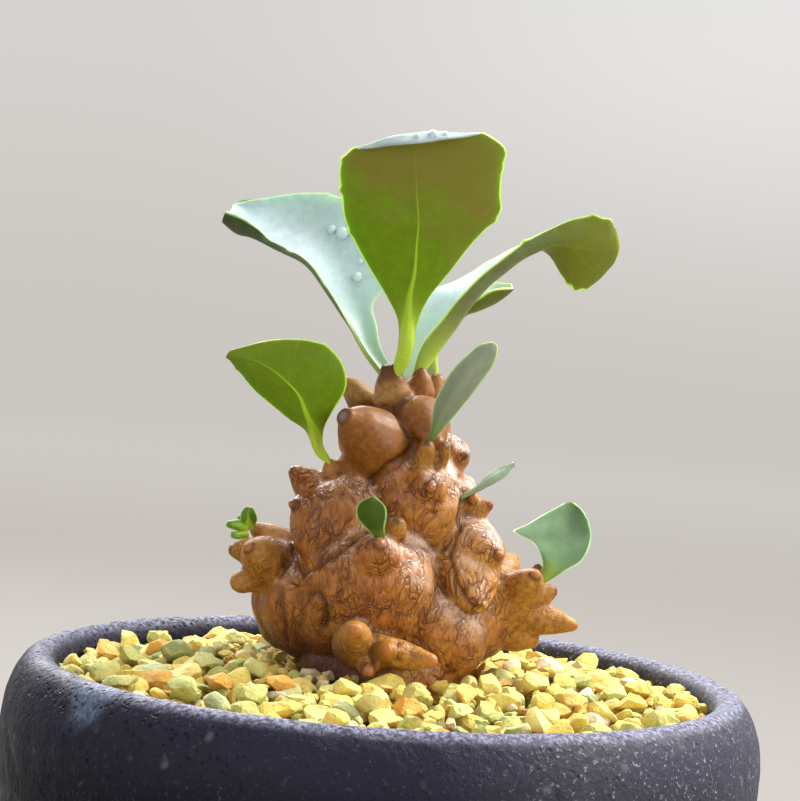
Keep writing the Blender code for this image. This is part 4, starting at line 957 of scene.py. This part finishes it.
# Pebble colours and how often each comes, as the pale, the usual and the deep tone of each stone.
PEBBLE_KINDS = {
    "yellow": (0.5, [(0.8, 0.69, 0.24), (0.74, 0.6, 0.13), (0.66, 0.48, 0.08)]),
    "lime": (0.26, [(0.63, 0.63, 0.25), (0.53, 0.54, 0.16), (0.42, 0.44, 0.11)]),
    "green": (0.09, [(0.5, 0.54, 0.27), (0.38, 0.43, 0.17), (0.27, 0.32, 0.1)]),
    "orange": (0.11, [(0.8, 0.54, 0.16), (0.75, 0.42, 0.07), (0.62, 0.3, 0.04)]),
    "pale": (0.05, [(0.8, 0.64, 0.43), (0.8, 0.7, 0.48), (0.72, 0.53, 0.35)]),
}
EDGE_ANGLE = math.radians(26)
# Layers of pebbles: spacing, least and greatest half length, centre above the bed, and how far
# they keep from the caudex.
PEBBLE_LAYERS = [
    (3.5, 1.8, 2.7, -2.0, 0.0),
    (4.8, 2.2, 3.6, -0.45, 0.9),
    (8.2, 2.2, 3.2, 1.0, 3.4),
    (2.8, 0.9, 1.6, -0.1, 0.3),
]


def ball_shape(fineness):
    bm = bmesh.new()
    bmesh.ops.create_icosphere(bm, subdivisions=fineness, radius=1.0)
    points = np.array([vert.co[:] for vert in bm.verts])
    faces = np.array([[vert.index for vert in face.verts] for face in bm.faces])
    bm.free()
    return points, faces


def turned_at_random(rng, tilt):
    yaw = Matrix.Rotation(rng.uniform(0, 2 * math.pi), 3, "Z")
    pitch = Matrix.Rotation(rng.uniform(-tilt, tilt), 3, "X")
    roll = Matrix.Rotation(rng.uniform(-tilt, tilt), 3, "Y")
    return np.array(yaw @ pitch @ roll)


def stone(points, size, rng):
    """A broken pebble: a ball cut flat by several planes, squeezed and turned."""
    shape = points.copy()
    for _ in range(rng.randint(*CUTS)):
        normal = np.array([rng.gauss(0, 1) for _ in range(3)])
        normal /= np.linalg.norm(normal)
        over = np.maximum(0, shape @ normal - rng.uniform(*CUT_PLACES))
        shape -= 0.97 * over[:, None] * normal
    shape += 0.045 * np.sin(shape[:, [1, 2, 0]] * 5 + rng.uniform(0, 6))
    shape *= (size * 1.12, size * rng.uniform(0.72, 1.0), size * rng.uniform(0.55, 0.82))
    return shape @ turned_at_random(rng, 0.55).T


def pebble_places(tree):
    """Scatter each layer's pebbles over the bed, clear of the wall and of the caudex."""
    rng = random.Random(GRAVEL_SEED)
    placed = []
    for spacing, smallest, largest, rise, clearance in PEBBLE_LAYERS:
        layer = []
        for _ in range(PEBBLE_TRIES):
            size = rng.uniform(smallest, largest)
            radius = (LIP_RADIUS - WALL_GAP * size) * math.sqrt(rng.random())
            angle = rng.uniform(0, 2 * math.pi)
            x, y = radius * math.cos(angle), radius * math.sin(angle)
            if any((x - px) ** 2 + (y - py) ** 2 < spacing ** 2 for px, py in layer):
                continue
            z = gravel_height(x, y) + rise + rng.uniform(-0.3, 0.3)
            place, normal, _, distance = tree.find_nearest(Vector((x, y, z)) * MM)
            outside = (Vector((x, y, z)) * MM - place).dot(normal) > 0
            if not outside or distance < (CAUDEX_GAP * size + clearance) * MM:
                continue
            layer.append((x, y))
            placed.append((x, y, z, size))
    return placed, rng


def stone_surface(name, tones):
    s = Surface(name)
    pale, usual, deep = tones
    tone = s.mark("tone")
    grain = s.noise(0.35, 4.0, rough=0.7)
    pits = s.fade(s.cells(0.9), 0.0, 0.28, 1.0, 0.0)
    s.colour = s.mix(s.fade(tone, 0.0, 0.5), deep, usual)
    s.paint(pale, s.fade(tone, 0.5, 1.0))
    s.paint(deep, s.fade(s.noise(2.4), 0.4, 0.75, 0.0, 0.55))
    s.paint((0.76, 0.52, 0.14), s.fade(s.noise(3.4, 1.0), 0.5, 0.66, 0.0, 0.4))
    s.paint(pale, s.fade(grain, 0.45, 0.75, 0.0, 0.4))
    s.paint(scaled(deep, 0.5), pits, 0.25)
    s.paint((0.4, 0.24, 0.08), s.mark("shade"), blend="MULTIPLY")
    normal = s.bump(s.noise(1.3, 1.0), 0.45)
    normal = s.bump(s.math("SUBTRACT", grain, s.times(pits, 0.6)), 0.2, normal)
    return s.finish(normal, roughness=0.72)


def make_gravel(tree):
    placed, rng = pebble_places(tree)
    fine, coarse = ball_shape(3), ball_shape(2)
    names = list(PEBBLE_KINDS)
    chances = [share for share, _ in PEBBLE_KINDS.values()]
    stones = {name: [] for name in names}
    for x, y, z, size in placed:
        kind = rng.choices(names, chances)[0]
        buried = z < gravel_height(x, y) - BURIED_DEPTH
        base, triangles = coarse if buried or y > FINE_FRONT or size < FINE_SIZE else fine
        shape = stone(base, size, rng)
        low = smooth_step(-shape[:, 2], 0.0, 1.6) * 0.8
        marks = {"tone": np.full(len(shape), rng.random()),
                 "shade": np.maximum(low, 0.7 if buried else 0.0)}
        stones[kind].append((shape + (x, y, z), triangles, marks))
    for name, parts in stones.items():
        points, faces, marks = joined(parts)
        surface = stone_surface(f"pebble_{name}", PEBBLE_KINDS[name][1])
        piece = mesh_piece(f"pebbles_{name}", points, faces, surface, marks)
        piece.data.set_sharp_from_angle(angle=EDGE_ANGLE)
        place_piece(piece, "pebbles", "gravel")
    make_gravel_bed()


def make_gravel_bed():
    """What shows between the pebbles: a low bed of fine grains, darkened as painted shadow in the
    gaps, and the side of the bed in the pot.
    """
    rings = np.linspace(BED_HOLE, LIP_RADIUS - 0.6, 30)
    top = [(radius, gravel_height(radius, 0) - BED_DROP) for radius in rings]
    wall = INNER_RADIUS - 1.2
    profile = top + [(wall, 60.5), (wall, GRAVEL_BOTTOM), (BED_HOLE, GRAVEL_BOTTOM), top[0]]
    points, faces = turn(profile[::-1], 180)
    away = np.hypot(points[:, 0], points[:, 1])
    points[:, 1] += FOOT_CENTRE[1] * (1 - smooth_step(away, BED_HOLE, wall))
    s = Surface("grit_in_painted_shadow")
    grain = s.noise(0.8, 4.0, rough=0.7)
    # Dark grain colour: painted shadow in the gaps between the pebbles.
    s.colour = s.mix(grain, (0.12, 0.085, 0.018), (0.38, 0.3, 0.07))
    material = s.finish(s.bump(grain, 0.5), roughness=0.9)
    place_piece(mesh_piece("gravel_bed", points, faces, material), "pebbles", "gravel")


def arc(centre_x, centre_z, radius_x, radius_z, start, end, count):
    """Points on an ellipse's arc in the profile plane, with angles in degrees."""
    angles = np.radians(np.linspace(start, end, count))
    return list(zip(centre_x + radius_x * np.cos(angles), centre_z + radius_z * np.sin(angles)))


def evened(profile, spacing):
    """The same outline with points at even distances."""
    profile = np.array(profile, dtype=float)
    steps = np.linalg.norm(np.diff(profile, axis=0), axis=1)
    reach = np.concatenate([[0], np.cumsum(steps)])
    at = np.linspace(0, reach[-1], int(reach[-1] / spacing))
    return np.c_[np.interp(at, reach, profile[:, 0]), np.interp(at, reach, profile[:, 1])]


def pot_profile():
    shoulder_height, belly_height, belly_radius, heel_radius = 57.0, 30.0, 57.5, 14.0
    outer = arc(CREST_RADIUS, shoulder_height, POT_RADIUS - CREST_RADIUS,
                POT_HEIGHT - shoulder_height, 90, 0, 24)
    outer += [(POT_RADIUS - 0.2, 50), (POT_RADIUS - 0.6, 44), (POT_RADIUS - 1.2, 37),
              (belly_radius, belly_height)]
    outer += arc(FOOT_RADIUS + 2, FOOT_DEPTH + heel_radius, belly_radius - FOOT_RADIUS - 3.5,
                 heel_radius, -10, -80, 14)
    foot = [(FOOT_RADIUS + 0.8, FOOT_DEPTH - 1), (FOOT_RADIUS + 0.2, 0.4), (FOOT_RADIUS - 0.4, 0),
            (FOOT_RADIUS - FOOT_WIDTH + 0.4, 0), (FOOT_RADIUS - FOOT_WIDTH - 0.2, 0.5),
            (FOOT_RADIUS - FOOT_WIDTH - 0.8, FOOT_DEPTH), (DRAIN_RADIUS, FOOT_DEPTH)]
    inner = [(DRAIN_RADIUS, FLOOR_HEIGHT), (34, FLOOR_HEIGHT)]
    inner += arc(34, FLOOR_HEIGHT + 17, 16.5, 17, -60, -10, 8)
    inner += [(52.5, 36), (INNER_RADIUS, 50), (INNER_RADIUS - 0.2, 60)]
    lip = arc(CREST_RADIUS, LIP_HEIGHT, CREST_RADIUS - LIP_RADIUS, POT_HEIGHT - LIP_HEIGHT, 200, 90,
              16)
    return np.concatenate([evened(outer, 0.8), evened(foot + inner, 2.5), evened(lip, 0.7)])


# Where the glaze is bluer, in a blot on the pot's left shoulder
BLUE_BLOT = (-41.9 * MM, -38.5 * MM, 67 * MM)


def stoneware_surface():
    """Blue-black stoneware: matt and pitted, with pale specks, painted light towards the shoulder
    and on the right, and a painted highlight over the rim.
    """
    s = Surface("stoneware")
    side, _, height = s.axes()
    cloud = s.noise(4.0, 4.0, rough=0.6)
    grain = s.noise(0.7, 3.0, rough=0.7)
    # The right side, where the key lamp falls, for painted light.
    right = s.fade(side, 4 * MM, 34 * MM)
    pitted = s.times(s.fade(cloud, 0.46, 0.6), s.fade(side, -40 * MM, -10 * MM, 1.0, 0.3))
    rim_left = s.times(s.fade(height, 61.5 * MM, 65.5 * MM), s.fade(side, -18 * MM, -36 * MM))
    pits = s.times(s.fade(s.cells(1.25, place=s.warped(1.5, 0.8)), 0.12, 0.34, 1.0, 0.0),
                   s.math("MAXIMUM", pitted, rim_left))
    s.colour = s.mix(s.fade(s.noise(14.0, 3.0), 0.3, 0.7), (0.0013, 0.0013, 0.0045),
                     (0.0035, 0.0035, 0.011))
    s.paint((0.01, 0.01, 0.021), s.fade(cloud, 0.35, 0.75, 0.0, 0.6))
    # Painted light: lighter towards the shoulder, and lighter again on the right.
    s.paint((0.026, 0.026, 0.05), s.fade(height, 52 * MM, 64 * MM), 0.6)
    s.paint((0.055, 0.055, 0.076), right, 0.6)
    blot = s.add("ShaderNodeVectorMath", s.warped(3.0, 4.0), BLUE_BLOT, operation="DISTANCE")
    s.paint((0.16, 0.21, 0.32), s.fade(blot.outputs["Value"], 1.5 * MM, 6 * MM, 0.85, 0.0),
            s.fade(grain, 0.36, 0.62, 0.3, 1.0))
    # Pale specks, shown more strongly on the right: partly the glaze's grain, partly painted light.
    s.paint((0.42, 0.42, 0.46), s.fade(grain, 0.58, 0.7), s.fade(right, 0.0, 1.0, 0.08, 0.6))
    speck = s.fade(s.cells(4.2, place=s.warped(3.0, 2.0)), 0.04, 0.26, 1.0, 0.0)
    s.paint((0.2, 0.165, 0.16), speck, s.fade(s.noise(5.0, 1.0), 0.5, 0.6), 0.45)
    # Painted highlight over the crest of the rim, broken up by the grain.
    rim = s.times(s.fade(height, 67.2 * MM, 68.7 * MM), s.fade(side, -52 * MM, -25 * MM, 0.6, 1.0))
    s.paint((0.3, 0.3, 0.42), rim, s.fade(grain, 0.4, 0.62, 0.15, 1.0), 0.8)
    s.paint((0.004, 0.004, 0.006), pits, 0.85)
    relief = s.math("SUBTRACT", s.times(s.noise(1.6), 0.6), s.times(pits, 0.8))
    normal = s.bump(relief, 0.45, s.bump(grain, 0.12))
    rough = s.fade(cloud, 0.3, 0.7, 0.45, 0.65)
    return s.finish(normal, roughness=rough, specular_ior_level=0.13)


def make_pot():
    profile = pot_profile()
    points, faces = turn(np.vstack([profile, profile[:1]]), POT_STEPS)
    away = np.hypot(points[:, 0], points[:, 1])
    sway = lattice_noise(points, 22.0, 9)
    ripple = lattice_noise(points, 3.2, 10)
    outside = smooth_step(points[:, 2], 2, 8) * smooth_step(away, 48, 50.5)
    scale = 1 + outside * (0.22 * sway + 0.13 * ripple) / np.maximum(away, 1)
    points[:, :2] *= scale[:, None]
    points[:, 2] += smooth_step(points[:, 2], 64, 67) * 0.12 * ripple
    piece = mesh_piece("pot_body", points, faces, stoneware_surface())
    bm = bmesh.new()
    bm.from_mesh(piece.data)
    bmesh.ops.remove_doubles(bm, verts=bm.verts, dist=0.005 * MM)
    bmesh.ops.recalc_face_normals(bm, faces=bm.faces)
    bm.to_mesh(piece.data)
    bm.free()
    piece.data.shade_smooth()
    place_piece(piece, "stoneware", "pot")


def dress_hidden_nodes():
    """The soil and the drainage net keep their solids and get finishes of their own."""
    s = Surface("potting_soil")
    crumbs = s.cells(1.6, place=s.warped(2.0, 1.0))
    s.colour = s.mix(crumbs, (0.035, 0.022, 0.014), (0.11, 0.075, 0.045))
    s.paint((0.42, 0.38, 0.32), s.fade(s.noise(0.6, 4.0, rough=0.7), 0.66, 0.72))
    soil = s.finish(s.bump(crumbs, 0.6), roughness=0.95)
    s = Surface("moulded_plastic")
    grain = s.noise(0.3)
    s.colour = s.mix(grain, (0.016, 0.016, 0.018), (0.03, 0.03, 0.032))
    plastic = s.finish(s.bump(grain, 0.03), roughness=0.42)
    for node, material in (("soil", soil), ("drain_net", plastic)):
        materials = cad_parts[node].data.materials
        materials.clear()
        materials.append(material)


# Drops of water: the leaf, the place along and across it, and the drop's radius.
DROPS = [
    ("leaf_top_left", 0.59, -0.5, 0.8), ("leaf_top_left", 0.565, -0.56, 1.1),
    ("leaf_top_left", 0.575, -0.64, 0.7), ("leaf_top_left", 0.545, -0.5, 0.6),
    ("leaf_top_left", 0.375, -0.56, 0.9), ("leaf_top_left", 0.44, -0.62, 0.5),
    ("leaf_top_centre", 0.985, 0.3, 0.7), ("leaf_top_centre", 0.985, 0.05, 0.45),
    ("leaf_top_centre", 0.985, 0.48, 0.4),
]
# How much a drop is flattened, and how high its middle lies, as shares of its radius
DROP_SAG = 0.25
DROP_RISE = 0.35


def make_drops():
    """Rain drops that lie on the upper faces of the two tallest leaves."""
    s = Surface("water")
    s.colour = (0.78, 0.9, 0.9)
    material = s.finish(roughness=0.04, ior=1.33, transmission_weight=0.45)
    ball, triangles = ball_shape(3)
    drops = []
    for name, along, across, radius in DROPS:
        span = np.array([along - 0.01, along, along + 0.01])
        side = np.array([across - 0.02, across, across + 0.02])
        patch = blade_grid(LEAVES[name], span, side)
        normal = np.cross(patch[2, 1] - patch[0, 1], patch[1, 2] - patch[1, 0])
        normal /= np.linalg.norm(normal)
        drop = (ball - DROP_SAG * np.outer(ball @ normal, normal) + DROP_RISE * normal) * radius
        drops.append((patch[1, 1] + drop, triangles, {}))
    points, faces, _ = joined(drops)
    place_piece(mesh_piece("rain_drops", points, faces, material), "leaf")


def make_camera():
    elevation = math.radians(CAMERA_ELEVATION)
    place = Vector((0, -CAMERA_DISTANCE * math.cos(elevation),
                    LIP_LEVEL + CAMERA_DISTANCE * math.sin(elevation)))
    forward = (Vector(TARGET) - place).normalized()
    right = forward.cross(Vector((0, 0, 1))).normalized()
    up = right.cross(forward)
    roll = math.radians(CAMERA_ROLL)
    across = right * math.cos(roll) + up * math.sin(roll)
    above = up * math.cos(roll) - right * math.sin(roll)
    lens = bpy.data.cameras.new("camera")
    lens.sensor_width = SENSOR
    lens.lens = FOCAL_PIXELS / PHOTO_HEIGHT * SENSOR
    lens.clip_start = 0.01
    lens.clip_end = 20
    camera = add_object("camera", lens)
    turned = Matrix((across, above, -forward)).transposed().to_4x4()
    camera.matrix_world = Matrix.Translation(place * MM) @ turned
    bpy.context.scene.camera = camera


def area_light(name, place, size, power, colour):
    light = bpy.data.lights.new(name, "AREA")
    light.shape = "DISK"
    light.size = size * MM
    light.energy = power
    light.color = colour
    lamp = add_object(name, light)
    lamp.location = Vector(place) * MM
    lamp.rotation_euler = (LAMP_TARGET - Vector(place)).to_track_quat("-Z", "Y").to_euler()


def make_studio():
    """A pale floor that curves up all round and glows with painted light, a soft key from the upper
    right, and fills.
    """
    floor_radius, curve_radius, wall_height = 1500, 700, 2400
    profile = [(0.1, 0), (floor_radius, 0)]
    profile += arc(floor_radius, curve_radius, curve_radius, curve_radius, -90, 0, 24)
    profile += [(floor_radius + curve_radius, wall_height)]
    points, faces = turn(profile[::-1], 96)
    s = Surface("studio_paper_painted_glow")
    across, away, height = s.axes()
    # Painted light: the paper glows, brighter to the right and darker low down and far off.
    glow = s.mix(s.fade(across, -0.3, 0.35), (0.63, 0.61, 0.59), (0.755, 0.745, 0.735))
    glow = s.mix(s.fade(height, 0.0, 0.4), (0.54, 0.51, 0.48), glow)
    glow = s.mix(s.fade(s.math("ABSOLUTE", away), 0.4, 1.3), (0.44, 0.41, 0.37), glow)
    s.colour = (0.05, 0.048, 0.046)
    paper = s.finish(roughness=0.9, emission_color=glow, emission_strength=1.0)
    mesh_piece("studio_floor", points, faces, paper)
    world = bpy.data.worlds.new("studio_air")
    world.use_nodes = True
    air = world.node_tree.nodes["Background"]
    air.inputs["Color"].default_value = (1.0, 0.97, 0.92, 1.0)
    air.inputs["Strength"].default_value = 0.36
    bpy.context.scene.world = world
    bpy.context.scene.view_settings.view_transform = "Standard"
    area_light("key", (360, 160, 520), 300, 7.2, (1.0, 0.98, 0.94))
    area_light("top", (80, 40, 560), 240, 1.2, (1.0, 0.99, 0.98))
    area_light("back", (-200, 480, 420), 420, 4.8, (0.96, 0.98, 1.0))
    area_light("right", (520, -380, 260), 320, 1.8, (1.0, 0.97, 0.92))
    area_light("fill", (-420, -520, 300), 500, 0.8, (1.0, 0.98, 0.95))


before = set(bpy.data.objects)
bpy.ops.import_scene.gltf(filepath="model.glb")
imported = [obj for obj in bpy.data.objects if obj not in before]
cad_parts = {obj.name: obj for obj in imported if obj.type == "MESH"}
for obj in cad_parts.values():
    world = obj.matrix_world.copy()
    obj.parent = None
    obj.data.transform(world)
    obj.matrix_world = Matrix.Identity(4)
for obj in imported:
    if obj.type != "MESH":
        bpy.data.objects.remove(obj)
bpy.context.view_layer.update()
make_camera()
caudex = make_caudex()
bpy.context.view_layer.update()
caudex_tree = BVHTree.FromObject(caudex, bpy.context.evaluated_depsgraph_get())
make_leaves(caudex_tree)
make_shoot()
make_drops()
make_gravel(caudex_tree)
make_pot()
dress_hidden_nodes()
make_studio()
